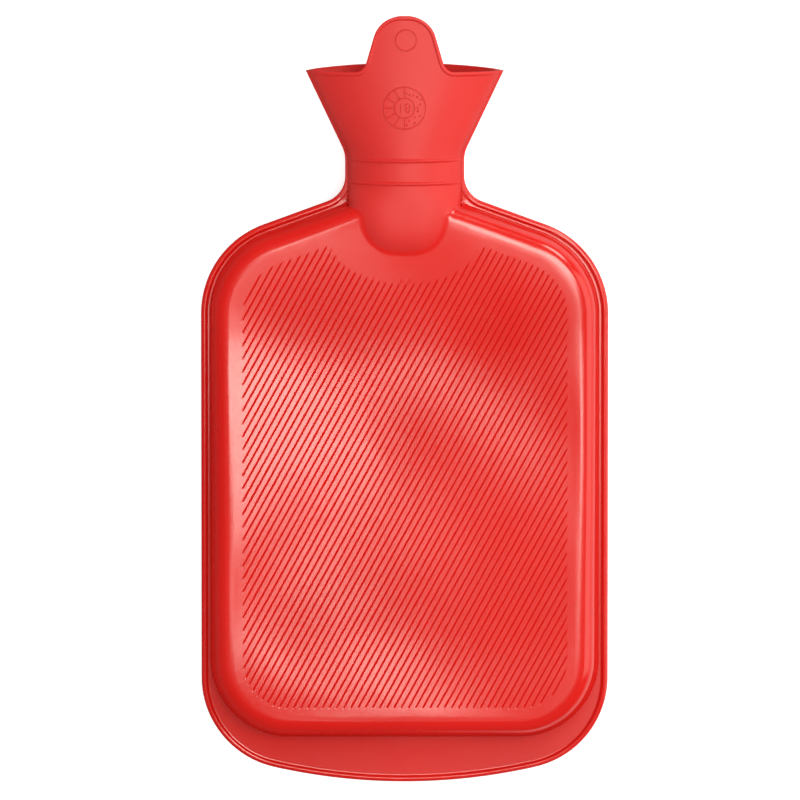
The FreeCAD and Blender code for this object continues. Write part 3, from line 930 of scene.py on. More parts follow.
class Tree:
    """Small helper that adds and links nodes."""

    def __init__(self, tree):
        self.tree = tree

    def node(self, kind, **settings):
        node = self.tree.nodes.new(kind)
        for key, value in settings.items():
            setattr(node, key, value)
        return node

    def link(self, source, target):
        self.tree.links.new(source, target)

    def math(self, operation, *values, clamp=False):
        node = self.node("ShaderNodeMath", operation=operation, use_clamp=clamp)
        for socket, value in zip(node.inputs, values):
            if isinstance(value, (int, float)):
                socket.default_value = value
            else:
                self.link(value, socket)
        return node.outputs[0]

    def split(self, vector):
        node = self.node("ShaderNodeSeparateXYZ")
        self.link(vector, node.inputs[0])
        return node.outputs

    def combined(self, x=None, y=None, z=None):
        node = self.node("ShaderNodeCombineXYZ")
        for socket, value in zip(node.inputs, (x, y, z)):
            if value is not None:
                self.link(value, socket)
        return node.outputs[0]

    def soft_range(self, value, low, high):
        """Smooth change from 0 at low to 1 at high."""
        node = self.node("ShaderNodeMapRange", interpolation_type="SMOOTHSTEP")
        self.link(value, node.inputs["Value"])
        node.inputs["From Min"].default_value = low
        node.inputs["From Max"].default_value = high
        return node.outputs[0]

    def mesh_attribute(self, name):
        node = self.node("GeometryNodeInputNamedAttribute", data_type="FLOAT")
        node.inputs["Name"].default_value = name
        return node.outputs["Attribute"]

    def moved(self, geometry, offset):
        node = self.node("GeometryNodeSetPosition")
        self.link(geometry, node.inputs["Geometry"])
        self.link(offset, node.inputs["Offset"])
        return node.outputs[0]


def geometry_tree(name, numbers, counts=()):
    """New geometry tree with a mesh, a material, whole numbers and numbers as its named inputs."""
    group = bpy.data.node_groups.new(name, "GeometryNodeTree")
    group.is_modifier = True
    kinds = {"Geometry": "NodeSocketGeometry", "Material": "NodeSocketMaterial"}
    kinds.update({label: "NodeSocketInt" for label in counts})
    kinds.update({label: "NodeSocketFloat" for label in numbers})
    identifiers = {}
    for label, kind in kinds.items():
        socket = group.interface.new_socket(name=label, in_out="INPUT", socket_type=kind)
        identifiers[label] = socket.identifier
    group.interface.new_socket(name="Geometry", in_out="OUTPUT", socket_type="NodeSocketGeometry")
    tree = Tree(group)
    start = tree.node("NodeGroupInput")
    end = tree.node("NodeGroupOutput")
    return group, tree, start, end, identifiers


def finish_tree(tree, geometry, start, end):
    """Ends the tree with real geometry in its material."""
    realize = tree.node("GeometryNodeRealizeInstances")
    paint = tree.node("GeometryNodeSetMaterial")
    tree.link(geometry, realize.inputs[0])
    tree.link(realize.outputs[0], paint.inputs["Geometry"])
    tree.link(start.outputs["Material"], paint.inputs["Material"])
    tree.link(paint.outputs[0], end.inputs[0])


def apply_tree(obj, group, identifiers, values):
    """Evaluates the tree on the object with these inputs and keeps the result as a plain mesh."""
    modifier = obj.modifiers.new(group.name, "NODES")
    modifier.node_group = group
    for label, value in values.items():
        modifier[identifiers[label]] = value
    evaluated = obj.evaluated_get(bpy.context.evaluated_depsgraph_get())
    mesh = bpy.data.meshes.new_from_object(evaluated)
    obj.modifiers.remove(modifier)
    obj.data = mesh
    return mesh


def groove_tree():
    """Sinks V-shaped grooves at an angle into what carries a positive panel distance."""
    numbers = ("Spacing", "Angle", "Groove X", "Groove Y", "Half width", "Depth", "Fade")
    group, tree, start, end, identifiers = geometry_tree("Diagonal grooves", numbers)
    place = tree.split(tree.node("GeometryNodeInputPosition").outputs[0])
    angle = start.outputs["Angle"]
    from_x = tree.math("SUBTRACT", place["X"], start.outputs["Groove X"])
    from_y = tree.math("SUBTRACT", place["Y"], start.outputs["Groove Y"])
    side = tree.math(
        "SUBTRACT",
        tree.math("MULTIPLY", from_x, tree.math("SINE", angle)),
        tree.math("MULTIPLY", from_y, tree.math("COSINE", angle)),
    )
    pitch = tree.math("MULTIPLY", start.outputs["Spacing"], tree.math("SINE", angle))
    half_pitch = tree.math("MULTIPLY", pitch, 0.5)
    wrapped = tree.math("WRAP", side, half_pitch, tree.math("MULTIPLY", half_pitch, -1.0))
    share = tree.math("DIVIDE", tree.math("ABSOLUTE", wrapped), start.outputs["Half width"])
    profile = tree.soft_range(share, *GROOVE_SECTION)
    fade = tree.math("DIVIDE", tree.mesh_attribute("panel_distance"), start.outputs["Fade"], clamp=True)
    sink = tree.math("MULTIPLY", tree.math("MULTIPLY", profile, fade), start.outputs["Depth"])
    offset = tree.combined(z=tree.math("MULTIPLY", sink, -1.0))
    finish_tree(tree, tree.moved(start.outputs["Geometry"], offset), start, end)
    return group, identifiers


def thread_tree():
    """Pushes what carries the thread attribute outwards along a helix round the long axis."""
    numbers = ("Pitch", "Depth", "Axis height", "Start")
    group, tree, start, end, identifiers = geometry_tree("Screw thread", numbers)
    place = tree.split(tree.node("GeometryNodeInputPosition").outputs[0])
    height = tree.math("SUBTRACT", place["Z"], start.outputs["Axis height"])
    turns = tree.math("DIVIDE", tree.math("ARCTAN2", height, place["X"]), 2 * math.pi)
    along = tree.math("SUBTRACT", place["Y"], start.outputs["Start"])
    phase = tree.math("ADD", tree.math("DIVIDE", along, start.outputs["Pitch"]), turns)
    profile = tree.soft_range(tree.math("PINGPONG", phase, 0.5), *THREAD_SECTION)
    there = tree.math("MULTIPLY", profile, tree.mesh_attribute("thread"))
    rise = tree.math("MULTIPLY", there, start.outputs["Depth"])
    outwards = tree.node("ShaderNodeVectorMath", operation="NORMALIZE")
    tree.link(tree.combined(place["X"], z=height), outwards.inputs[0])
    offset = tree.node("ShaderNodeVectorMath", operation="SCALE")
    tree.link(outwards.outputs[0], offset.inputs[0])
    tree.link(rise, offset.inputs["Scale"])
    finish_tree(tree, tree.moved(start.outputs["Geometry"], offset.outputs[0]), start, end)
    return group, identifiers


def instances(tree, count, position, instance, rotation=None):
    """Instances on so many points placed by fields."""
    points = tree.node("GeometryNodePoints")
    tree.link(count, points.inputs["Count"])
    tree.link(position, points.inputs["Position"])
    placed = tree.node("GeometryNodeInstanceOnPoints")
    tree.link(points.outputs[0], placed.inputs["Points"])
    tree.link(instance, placed.inputs["Instance"])
    if rotation is not None:
        tree.link(rotation, placed.inputs["Rotation"])
    return placed.outputs[0]


def rib_tree():
    """Adds rows of long low ribs to both faces of the grip."""
    numbers = ("Spacing", "First", "Half length", "Radius", "Lift", "Axis height")
    group, tree, start, end, identifiers = geometry_tree("Grip ribs", numbers, ("Ribs",))
    ball = tree.node("GeometryNodeMeshUVSphere")
    ball.inputs["Segments"].default_value = 24
    ball.inputs["Rings"].default_value = 16
    tree.link(start.outputs["Radius"], ball.inputs["Radius"])
    stretch = tree.node("GeometryNodeTransform")
    tree.link(ball.outputs["Mesh"], stretch.inputs["Geometry"])
    size = tree.node("ShaderNodeCombineXYZ")
    tree.link(tree.math("DIVIDE", start.outputs["Half length"], start.outputs["Radius"]), size.inputs["X"])
    size.inputs["Y"].default_value = 1.0
    size.inputs["Z"].default_value = 1.0
    tree.link(size.outputs[0], stretch.inputs["Scale"])
    index = tree.node("GeometryNodeInputIndex").outputs[0]
    row = tree.math("FLOOR", tree.math("DIVIDE", index, 2.0))
    face = tree.math("SUBTRACT", tree.math("MULTIPLY", tree.math("MODULO", index, 2.0), 2.0), 1.0)
    y = tree.math("ADD", tree.math("MULTIPLY", row, start.outputs["Spacing"]), start.outputs["First"])
    z = tree.math("ADD", tree.math("MULTIPLY", face, start.outputs["Lift"]), start.outputs["Axis height"])
    count = tree.math("MULTIPLY", start.outputs["Ribs"], 2.0)
    ribs = instances(tree, count, tree.combined(y=y, z=z), stretch.outputs[0])
    join = tree.node("GeometryNodeJoinGeometry")
    tree.link(start.outputs["Geometry"], join.inputs[0])
    tree.link(ribs, join.inputs[0])
    finish_tree(tree, join.outputs[0], start, end)
    return group, identifiers


def dial_tree():
    """Rings round the figures 18, spokes on the left half, dots on the right half, and the tab's ring."""
    numbers = ("Outer", "Inner", "Line", "Dot", "Tab ring", "Tab X", "Tab Y", "Step", "Figure")
    group, tree, start, end, identifiers = geometry_tree("Moulded dial", numbers, ("Spokes", "Dots"))
    outer, inner = start.outputs["Outer"], start.outputs["Inner"]
    join = tree.node("GeometryNodeJoinGeometry")
    section = tree.node("GeometryNodeCurvePrimitiveCircle")
    section.inputs["Resolution"].default_value = 8
    tree.link(start.outputs["Line"], section.inputs["Radius"])

    def tube(curve):
        swept = tree.node("GeometryNodeCurveToMesh")
        swept.inputs["Fill Caps"].default_value = True
        tree.link(curve, swept.inputs["Curve"])
        tree.link(section.outputs["Curve"], swept.inputs["Profile Curve"])
        return swept.outputs[0]

    def ring(radius):
        circle = tree.node("GeometryNodeCurvePrimitiveCircle")
        circle.inputs["Resolution"].default_value = 96
        tree.link(radius, circle.inputs["Radius"])
        return tube(circle.outputs["Curve"])

    def moved_ring(radius, x, y):
        shift = tree.node("GeometryNodeTransform")
        tree.link(ring(radius), shift.inputs["Geometry"])
        tree.link(tree.combined(x, y), shift.inputs["Translation"])
        tree.link(shift.outputs[0], join.inputs[0])

    for radius in (outer, inner):
        tree.link(ring(radius), join.inputs[0])
    moved_ring(start.outputs["Tab ring"], start.outputs["Tab X"], start.outputs["Tab Y"])

    def part(share):
        return tree.math("MULTIPLY", start.outputs["Figure"], share)

    def bar(low, high):
        line = tree.node("GeometryNodeCurvePrimitiveLine")
        tree.link(low, line.inputs["Start"])
        tree.link(high, line.inputs["End"])
        return tube(line.outputs[0])

    # The 8 is two stacked rings, and the 1 is a stem
    for way in (RING_SIZE, -RING_SIZE):
        moved_ring(part(RING_SIZE), part(RING_PLACE), part(way))
    low, high = (tree.combined(part(STEM_PLACE), part(end_y)) for end_y in (-0.5, 0.5))
    tree.link(bar(low, high), join.inputs[0])

    index = tree.node("GeometryNodeInputIndex").outputs[0]
    turn = tree.math("ADD", tree.math("MULTIPLY", index, start.outputs["Step"]), math.pi / 2)
    spoke = bar(tree.combined(inner), tree.combined(outer))
    spokes = instances(tree, start.outputs["Spokes"], tree.combined(), spoke, tree.combined(z=turn))
    tree.link(spokes, join.inputs[0])

    ball = tree.node("GeometryNodeMeshIcoSphere")
    ball.inputs["Subdivisions"].default_value = 3
    tree.link(start.outputs["Dot"], ball.inputs["Radius"])
    chance = tree.node("FunctionNodeRandomValue", data_type="FLOAT")
    chance.inputs["Seed"].default_value = 4
    tree.link(tree.math("ADD", inner, DOT_INNER_GAP), chance.inputs[2])
    tree.link(tree.math("SUBTRACT", outer, DOT_OUTER_GAP), chance.inputs[3])
    reach = chance.outputs[1]
    share = tree.math("DIVIDE", tree.math("ADD", index, 0.5), start.outputs["Dots"])
    angle = tree.math("MULTIPLY", tree.math("SUBTRACT", share, 0.5), math.pi)
    where = tree.combined(*[
        tree.math("MULTIPLY", reach, tree.math(way, angle)) for way in ("COSINE", "SINE")
    ])
    tree.link(instances(tree, start.outputs["Dots"], where, ball.outputs["Mesh"]), join.inputs[0])
    finish_tree(tree, join.outputs[0], start, end)
    return group, identifiers


# The turned pieces and the moulded marks
TURN_STEPS = 96
THREAD_ROWS = 84
RUN_OUT = 2.5
ON_WALL = 0.02
ROUNDED_EDGE = 0.5
WASHER_EDGE = 0.35
WASHER_STEPS = 8
WASHER_POWER = 0.6
# How far the ribs stand out of the grip, and its rounded edge as distances inwards and downwards
RIBS_OUT = 0.6
GRIP_EDGE = ((1.6, 0.0), (1.0, 0.12), (0.5, 0.45), (0.15, 0.95), (0.0, 1.6))


def add_turned(solid, profile, closed):
    """Surface of revolution round the long axis through (radius, y) points."""
    angles = np.linspace(0, 2 * math.pi, TURN_STEPS + 1)
    rows = [ring_at(y, radius, angles) for radius, y in profile]
    if closed:
        rows.append(rows[0])
    for first, second in zip(rows, rows[1:]):
        strip(solid, first, second)


def threaded_rows(radius, low, high):
    return [(radius, y) for y in np.linspace(low, high, THREAD_ROWS)]


def set_thread(mesh, solid, radius, low, high):
    """Marks the wall of this radius as threaded, running out at both ends."""
    where = np.array(solid.vertices)
    wall = np.abs(np.hypot(where[:, 0], where[:, 2]) - radius) < ON_WALL
    start, end = smooth_step(low, low + RUN_OUT, where[:, 1]), smooth_step(high - RUN_OUT, high, where[:, 1])
    run = start * (1 - end)
    set_attribute(mesh, "thread", wall * run)


def turned_mesh(name, body, solid):
    mesh = solid.mesh(name, body.total_length / 2, body.seam_z)
    face_outwards(mesh)
    return mesh


def socket_mesh(g, body):
    """The socket with its foot, without its thread."""
    solid = Solid()
    edge = ROUNDED_EDGE
    profile = [
        (g.bore, g.foot_y + edge), (g.bore + edge, g.foot_y), (g.foot - edge, g.foot_y),
        (g.foot, g.foot_y + edge), (g.foot, g.foot_top_y - edge), (g.foot - edge, g.foot_top_y),
        (g.socket, g.foot_top_y), (g.socket, g.top_y - edge), (g.socket - edge, g.top_y),
        (g.bore + edge, g.top_y),
    ]
    profile += threaded_rows(g.bore, g.foot_y + edge, g.top_y - edge)[:0:-1]
    add_turned(solid, profile, closed=True)
    mesh = turned_mesh("neck_socket_threaded", body, solid)
    set_thread(mesh, solid, g.bore, g.foot_y + 1, g.top_y - 1)
    return mesh


def washer_mesh(g, body):
    """Flat ring with rounded sides, a little thinner than the room that it has."""
    solid = Solid()
    edge = WASHER_EDGE
    middle = (g.top_y + g.head_y) / 2
    half = (g.head_y - g.top_y) / 2 - g.seat
    profile = []
    for radius, way in ((g.washer - edge, 1), (g.bore + edge, -1)):
        for step in range(WASHER_STEPS + 1):
            turn = math.pi * (step / WASHER_STEPS - 0.5) * way
            out = way * edge * math.cos(turn) ** WASHER_POWER
            profile.append((radius + out, middle + half * math.sin(turn)))
    add_turned(solid, profile, closed=True)
    return turned_mesh("washer_rubber_ring", body, solid)


def grip_outline(g, inset):
    """Outline of the grip, from its foot up the right side and down the left one."""
    lean = math.atan2(g.grip_base - g.grip_top, g.grip_y - g.grip_base_y)
    middle_x = g.grip_top - g.grip_corner * math.tan((math.pi / 2 - lean) / 2)
    corner = arc_points((middle_x, g.grip_y - g.grip_corner), g.grip_corner - inset, lean, math.pi / 2, 16)
    end = [(middle_x, g.grip_y - inset)]
    right = np.concatenate([[(g.grip_base - inset, g.grip_base_y)], corner, end])
    return np.concatenate([right, mirror(right)])


def add_grip(solid, g):
    """The flat grip, its rounded edges laid as outlines at (distance inwards, height)."""
    levels = [(inset, g.grip_half - RIBS_OUT - fall) for inset, fall in GRIP_EDGE]
    levels += [(inset, -h) for inset, h in reversed(levels)]
    loops = []
    for inset, h in levels:
        outline = grip_outline(g, inset)
        loops.append(stacked(outline, np.full(len(outline), h)))
    for first, second in zip(loops, loops[1:]):
        strip(solid, np.concatenate([first, first[:1]]), np.concatenate([second, second[:1]]))
    for loop in (loops[0], loops[-1]):
        solid.add(loop, [tuple(range(len(loop)))])


def stopper_mesh(g, body):
    """The stopper's shank, head and grip, without its thread and ribs."""
    solid = Solid()
    edge = ROUNDED_EDGE
    root = g.shank - g.thread
    profile = [(0, g.hollow_y), (g.hollow - edge, g.hollow_y), (g.hollow, g.hollow_y - edge)]
    profile += [(g.hollow, g.shank_y + edge), (g.hollow + edge, g.shank_y), (root - edge, g.shank_y)]
    profile += threaded_rows(root, g.shank_y + edge, g.head_y - edge)
    profile += [(root + edge, g.head_y), (g.head - edge, g.head_y), (g.head, g.head_y + edge)]
    profile += [(g.head, g.head_top_y - 2 * edge), (g.head - 0.6 * edge, g.head_top_y - 0.6 * edge)]
    profile += [(g.head - 2 * edge, g.head_top_y), (0, g.head_top_y)]
    add_turned(solid, profile, closed=False)
    add_grip(solid, g)
    mesh = turned_mesh("stopper_threaded", body, solid)
    set_thread(mesh, solid, root, g.shank_y + edge, g.head_y - 2)
    return mesh


# How much the drape raises what it lays on the surface
MARK_RAISE = 1.1


def drape(mesh, form, y):
    """Lays marks drawn round the origin on the front surface round (0, y), a little raised."""
    g = form.g
    where = np.empty(len(mesh.vertices) * 3, np.float32)
    mesh.vertices.foreach_get("co", where)
    where = where.reshape(-1, 3).astype(float) * 1000
    along = where[:, 1] + y
    height = form.front(where[:, 0], along) + where[:, 2] * MARK_RAISE
    placed = np.stack([where[:, 0], along - g.total_length / 2, height + g.seam_z], 1) / 1000
    mesh.vertices.foreach_set("co", placed.astype(np.float32).ravel())
    mesh.update()


# Materials
def material(name, colour_value, roughness, specular=0.5):
    """Principled material, a helper for its tree, and its shader."""
    made = bpy.data.materials.new(name)
    made.use_nodes = True
    shader = made.node_tree.nodes["Principled BSDF"]
    shader.inputs["Base Color"].default_value = (*colour_value, 1)
    shader.inputs["Roughness"].default_value = roughness
    shader.inputs["Specular IOR Level"].default_value = specular
    return made, Tree(made.node_tree), shader


def noise(tree, where, scale, detail, roughness=0.5):
    node = tree.node("ShaderNodeTexNoise")
    node.inputs["Scale"].default_value = scale
    node.inputs["Detail"].default_value = detail
    node.inputs["Roughness"].default_value = roughness
    tree.link(where, node.inputs["Vector"])
    return node.outputs["Fac"]


def spread(tree, value, low, high, from_low=0.3, from_high=0.7):
    """The value, from between two levels, spread out between low and high."""
    node = tree.node("ShaderNodeMapRange", clamp=True)
    tree.link(value, node.inputs["Value"])
    for socket, number in zip(list(node.inputs)[1:5], (from_low, from_high, low, high)):
        socket.default_value = number
    return node.outputs[0]


def bumps(tree, height, strength, depth, under=None):
    """Normal of a bumpy surface, laid over another one where it is given."""
    node = tree.node("ShaderNodeBump")
    node.inputs["Strength"].default_value = strength
    node.inputs["Distance"].default_value = depth
    tree.link(height, node.inputs["Height"])
    if under:
        tree.link(under, node.inputs["Normal"])
    return node.outputs[0]


# Scales of the rubber's noise, from broad clouds down to its grain
TINT_SCALE = 9.0
CLOUD_SCALE = 14.0
SWELL_SCALE = 60.0
GRAIN_SCALE = 900.0
# What the tint does to the colour, and the grain to the roughness and the surface
TINT_RANGE = (0.94, 1.06)
GRAIN_ROUGH = 0.03
GRAIN_DEPTH = 0.00002


def rubber_material(finish):
    """Glossy moulded rubber: slow cloudy roughness, a fine grain and a shallow unevenness."""
    made, tree, shader = material("moulded_rubber", finish.rubber, 0.4, finish.rubber_specular)
    where = tree.node("ShaderNodeTexCoord").outputs["Object"]
    cloud = noise(tree, where, CLOUD_SCALE, 3.0, 0.55)
    grain = noise(tree, where, GRAIN_SCALE, 2.0, 0.6)
    rough = spread(tree, cloud, finish.rubber_rough_low, finish.rubber_rough_high)
    rough = tree.math("ADD", rough, spread(tree, grain, -GRAIN_ROUGH, GRAIN_ROUGH))
    neck = tree.node("ShaderNodeAttribute", attribute_name="neck").outputs["Fac"]
    rough = tree.math("ADD", rough, tree.math("MULTIPLY", neck, finish.neck_matt))
    tree.link(rough, shader.inputs["Roughness"])
    duller = tree.math("MULTIPLY", neck, finish.rubber_specular * finish.neck_dull)
    tree.link(tree.math("SUBTRACT", finish.rubber_specular, duller), shader.inputs["Specular IOR Level"])
    tint = tree.node("ShaderNodeMix", data_type="RGBA")
    tree.link(spread(tree, noise(tree, where, TINT_SCALE, 2.0), 0.0, 1.0), tint.inputs["Factor"])
    low, high = (tuple(c * f for c in finish.rubber) + (1,) for f in TINT_RANGE)
    tint.inputs["A"].default_value = low
    tint.inputs["B"].default_value = high
    tree.link(tint.outputs["Result"], shader.inputs["Base Color"])
    swell = bumps(tree, noise(tree, where, SWELL_SCALE, 2.0), 0.35, finish.rubber_swell)
    tree.link(bumps(tree, grain, 0.2, GRAIN_DEPTH, swell), shader.inputs["Normal"])
    return made


def plain_material(name, value, roughness, grain, depth):
    """Plastic or plain rubber with a light grain of this fineness and depth."""
    made, tree, shader = material(name, value, roughness)
    where = tree.node("ShaderNodeTexCoord").outputs["Object"]
    speckle = noise(tree, where, grain, 3.0)
    tree.link(spread(tree, speckle, roughness - 0.07, roughness + 0.07), shader.inputs["Roughness"])
    tree.link(bumps(tree, speckle, 0.3, depth), shader.inputs["Normal"])
    return made


class BottleLooks(bpy.types.PropertyGroup):
    """Colours and surfaces of the pieces"""

    rubber: colour("Rubber", "Colour of the moulded body", (0.57, 0.008, 0.005))
    socket: colour("Socket", "Colour of the threaded socket", (0.72, 0.68, 0.58))
    washer: colour("Washer", "Colour of the washer", (0.035, 0.035, 0.035))
    stopper: colour("Stopper", "Colour of the screw stopper", (0.03, 0.03, 0.033))
    rubber_specular: factor("Rubber specular", "Strength of the rubber's reflection", 0.7)
    rubber_rough_low: factor("Least roughness", "Roughness of the glossiest rubber", 0.14)
    rubber_rough_high: factor("Most roughness", "Roughness of the dullest rubber", 0.20)
    neck_matt: factor("Neck matt", "How much duller the neck and funnel are", 0.32)
    neck_dull: factor("Neck dullness", "How much weaker the neck reflects", 0.28)
    rubber_swell: length("Swell", "Height of the shallow unevenness in the shading", 0.12)


def looks():
    return bpy.context.scene.bottle_looks


def new_object(name, data, *materials):
    """New object of this scene, whose mesh takes the materials."""
    obj = bpy.data.objects.new(name, data)
    bpy.context.scene.collection.objects.link(obj)
    for item in materials:
        data.materials.append(item)
    return obj


def smooth(mesh, angle):
    mesh.shade_smooth()
    mesh.set_sharp_from_angle(angle=math.radians(angle))


def rubber():
    return bpy.data.materials.get("moulded_rubber") or rubber_material(looks())


class BOTTLE_OT_body(bpy.types.Operator):
    """Builds the moulded rubber body with its grooves"""

    bl_idname = "bottle.body"
    bl_label = "Rubber body"

    def execute(self, context):
        form = Form(context.scene.bottle)
        g = form.g
        obj = new_object("bottle_rubber", body_mesh(form))
        group, identifiers = groove_tree()
        mesh = apply_tree(obj, group, identifiers, {
            "Material": rubber(),
            "Spacing": g.groove_spacing / 1000,
            "Angle": g.groove_angle,
            "Groove X": g.groove_x / 1000,
            "Groove Y": (g.groove_y - g.total_length / 2) / 1000,
            "Half width": g.groove_half / 1000,
            "Depth": g.groove_depth / 1000,
            "Fade": g.groove_fade / 1000,
        })
        smooth(mesh, 55)
        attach(obj, "bottle")
        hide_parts("bottle_body")
        return {"FINISHED"}


class BOTTLE_OT_marks(bpy.types.Operator):
    """Adds the moulded ring of the tab and the dial on the funnel"""

    bl_idname = "bottle.marks"
    bl_label = "Moulded marks"

    def execute(self, context):
        form = Form(context.scene.bottle)
        g = form.g
        obj = new_object("mould_marks", bpy.data.meshes.new("mould_marks"))
        group, identifiers = dial_tree()
        mesh = apply_tree(obj, group, identifiers, {
            "Material": rubber(),
            "Spokes": g.dial_spokes,
            "Dots": g.dial_dots,
            "Outer": g.dial_outer / 1000,
            "Inner": g.dial_inner / 1000,
            "Line": g.mark_half / 1000,
            "Dot": g.dial_dot / 1000,
            "Tab ring": g.tab_ring / 1000,
            "Tab X": g.tab_ring_x / 1000,
            "Tab Y": (g.tab_ring_y - g.dial_y) / 1000,
            "Step": g.dial_step,
            "Figure": g.dial_figure / 1000,
        })
        drape(mesh, form, g.dial_y)
        mesh.materials.clear()
        mesh.materials.append(rubber())
        set_attribute(mesh, "neck", np.ones(len(mesh.vertices)))
        smooth(mesh, 50)
        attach(obj, "bottle")
        return {"FINISHED"}


def thread_inputs(g, body, made, depth, start):
    """Inputs of the thread's tree, with the thread's depth and its start along the axis."""
    return {
        "Material": made,
        "Pitch": g.pitch / 1000,
        "Depth": depth / 1000,
        "Axis height": body.seam_z / 1000,
        "Start": (start - body.total_length / 2) / 1000,
    }


class BOTTLE_OT_socket(bpy.types.Operator):
    """Builds the threaded socket in the neck"""

    bl_idname = "bottle.socket"
    bl_label = "Neck socket"

    def execute(self, context):
        g = in_millimetres(context.scene.bottle_stopper)
        body = in_millimetres(context.scene.bottle)
        made = plain_material("socket_moulding", looks().socket, roughness=0.42, grain=500.0, depth=0.00002)
        obj = new_object("socket_threaded", socket_mesh(g, body))
        group, identifiers = thread_tree()
        mesh = apply_tree(obj, group, identifiers, thread_inputs(g, body, made, g.socket_thread, g.foot_y))
        smooth(mesh, 40)
        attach(obj, "bottle")
        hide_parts("neck_socket")
        return {"FINISHED"}


class BOTTLE_OT_washer(bpy.types.Operator):
    """Builds the washer under the stopper's head"""

    bl_idname = "bottle.washer"
    bl_label = "Washer"

    def execute(self, context):
        g = in_millimetres(context.scene.bottle_stopper)
        made = plain_material("washer_moulding", looks().washer, roughness=0.6, grain=700.0, depth=0.00004)
        obj = new_object("washer_ring", washer_mesh(g, in_millimetres(context.scene.bottle)), made)
        smooth(obj.data, 50)
        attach(obj, "washer")
        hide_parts("stopper_washer")
        return {"FINISHED"}


class BOTTLE_OT_stopper(bpy.types.Operator):
    """Builds the screw stopper with its thread and the ribs of its grip"""

    bl_idname = "bottle.stopper"
    bl_label = "Stopper"

    def execute(self, context):
        g = in_millimetres(context.scene.bottle_stopper)
        body = in_millimetres(context.scene.bottle)
        made = plain_material("stopper_moulding", looks().stopper, roughness=0.4, grain=420.0, depth=0.00003)
        obj = new_object("stopper_screw", stopper_mesh(g, body))
        group, identifiers = thread_tree()
        apply_tree(obj, group, identifiers, thread_inputs(g, body, made, g.thread, g.shank_y))
        group, identifiers = rib_tree()
        mesh = apply_tree(obj, group, identifiers, {
            "Material": made,
            "Ribs": g.ribs,
            "Spacing": g.rib_spacing / 1000,
            "First": (g.rib_y - body.total_length / 2) / 1000,
            "Half length": g.rib_half / 1000,
            "Radius": g.rib_radius / 1000,
            "Lift": (g.grip_half - g.rib_radius) / 1000,
            "Axis height": body.seam_z / 1000,
        })
        smooth(mesh, 40)
        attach(obj, "stopper")
        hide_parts("stopper")
        return {"FINISHED"}


# The stage
WARM = (1, 0.96, 0.87)
# Name, place, aim, width, height and power of each lamp
LAMPS = (
    ("key", (0.29, 0.21, 1.50), (0, 0, 0), 0.40, 0.80, 8.6),
    ("soft", (0.20, 0.22, 1.52), (0, 0, 0), 0.56, 0.84, 1.1),
    ("near", (0.25, -0.87, 5.5), (0, 0, 0), 0.60, 0.35, 1.1),
    ("overhead", (0.1, 0.6, 2.2), (0.1, 0.6, 0), 2.4, 2.4, 2.5),
    ("right", (1.4, 0.1, 0.7), (0, 0, 0), 1.3, 1.3, 8.5),
    ("upper_right", (0.9, 1.2, 0.8), (0, 0, 0), 0.5, 0.5, 7.0),
)
# Half the floor's width, its depth under the bottle, and its glow in the picture
FLOOR_HALF = 4.0
FLOOR_LOW = -0.0002
FLOOR_GLOW = 0.6
# What the reflections see of the floor: from this grey at X = 0 to that one at X = FLOOR_RAMP
FLOOR_MIRRORED = (0.05, 0.6)
FLOOR_RAMP = 0.08
# Strength of the surroundings, and what the camera and the reflections see more of them
SKY = 0.78
SKY_SEEN = 0.22
SKY_MIRRORED = -0.75


class BottleStage(bpy.types.PropertyGroup):
    """Camera and floor of the picture"""

    distance: length("Camera distance", "From the camera to the seam plane", 6000.0)
    tilt: degrees("Camera tilt", "Tilt of the camera towards the neck", 5.6)
    span: length("Picture width", "Width of what the picture shows at the seam plane", 393.1)
    aim_x: length("Aim X", "Middle of the picture, across", -2.3)
    aim_y: length("Aim Y", "Middle of the picture, along", -0.97)
    floor: colour("Floor", "Colour of the floor", (0.86, 0.86, 0.86))


def add_floor(stage):
    """White floor that glows a little for the camera and is mirrored darker on the left."""
    mesh = bpy.data.meshes.new("floor")
    corners = ((-1, -1), (1, -1), (1, 1), (-1, 1))
    mesh.from_pydata([(x * FLOOR_HALF, y * FLOOR_HALF, FLOOR_LOW) for x, y in corners], [], [(0, 1, 2, 3)])
    made, tree, shader = material("floor", stage.floor, roughness=0.9, specular=0.1)
    rays = tree.node("ShaderNodeLightPath").outputs
    tree.link(tree.math("MULTIPLY", rays["Is Camera Ray"], FLOOR_GLOW), shader.inputs["Emission Strength"])
    shader.inputs["Emission Color"].default_value = (1, 1, 1, 1)
    place = tree.split(tree.node("ShaderNodeTexCoord").outputs["Object"])
    level = spread(tree, place["X"], *FLOOR_MIRRORED, 0.0, FLOOR_RAMP)
    mirrored = tree.node("ShaderNodeCombineColor")
    for socket in mirrored.inputs[:3]:
        tree.link(level, socket)
    dim = tree.node("ShaderNodeMix", data_type="RGBA")
    tree.link(rays["Is Glossy Ray"], dim.inputs["Factor"])
    dim.inputs["A"].default_value = (*stage.floor, 1)
    tree.link(mirrored.outputs[0], dim.inputs["B"])
    tree.link(dim.outputs["Result"], shader.inputs["Base Color"])
    new_object("floor", mesh, made)


def add_surroundings(scene):
    """Even white light from all round, weaker in the reflections."""
    world = bpy.data.worlds.new("studio")
    scene.world = world
    world.use_nodes = True
    background = world.node_tree.nodes["Background"]
    background.inputs["Color"].default_value = (1, 1, 1, 1)
    sky = Tree(world.node_tree)
    rays = sky.node("ShaderNodeLightPath").outputs
    seen = sky.math("MULTIPLY", rays["Is Camera Ray"], SKY_SEEN)
    mirrored = sky.math("MULTIPLY", rays["Is Glossy Ray"], SKY_MIRRORED)
    sky.link(sky.math("ADD", sky.math("ADD", seen, mirrored), SKY), background.inputs["Strength"])


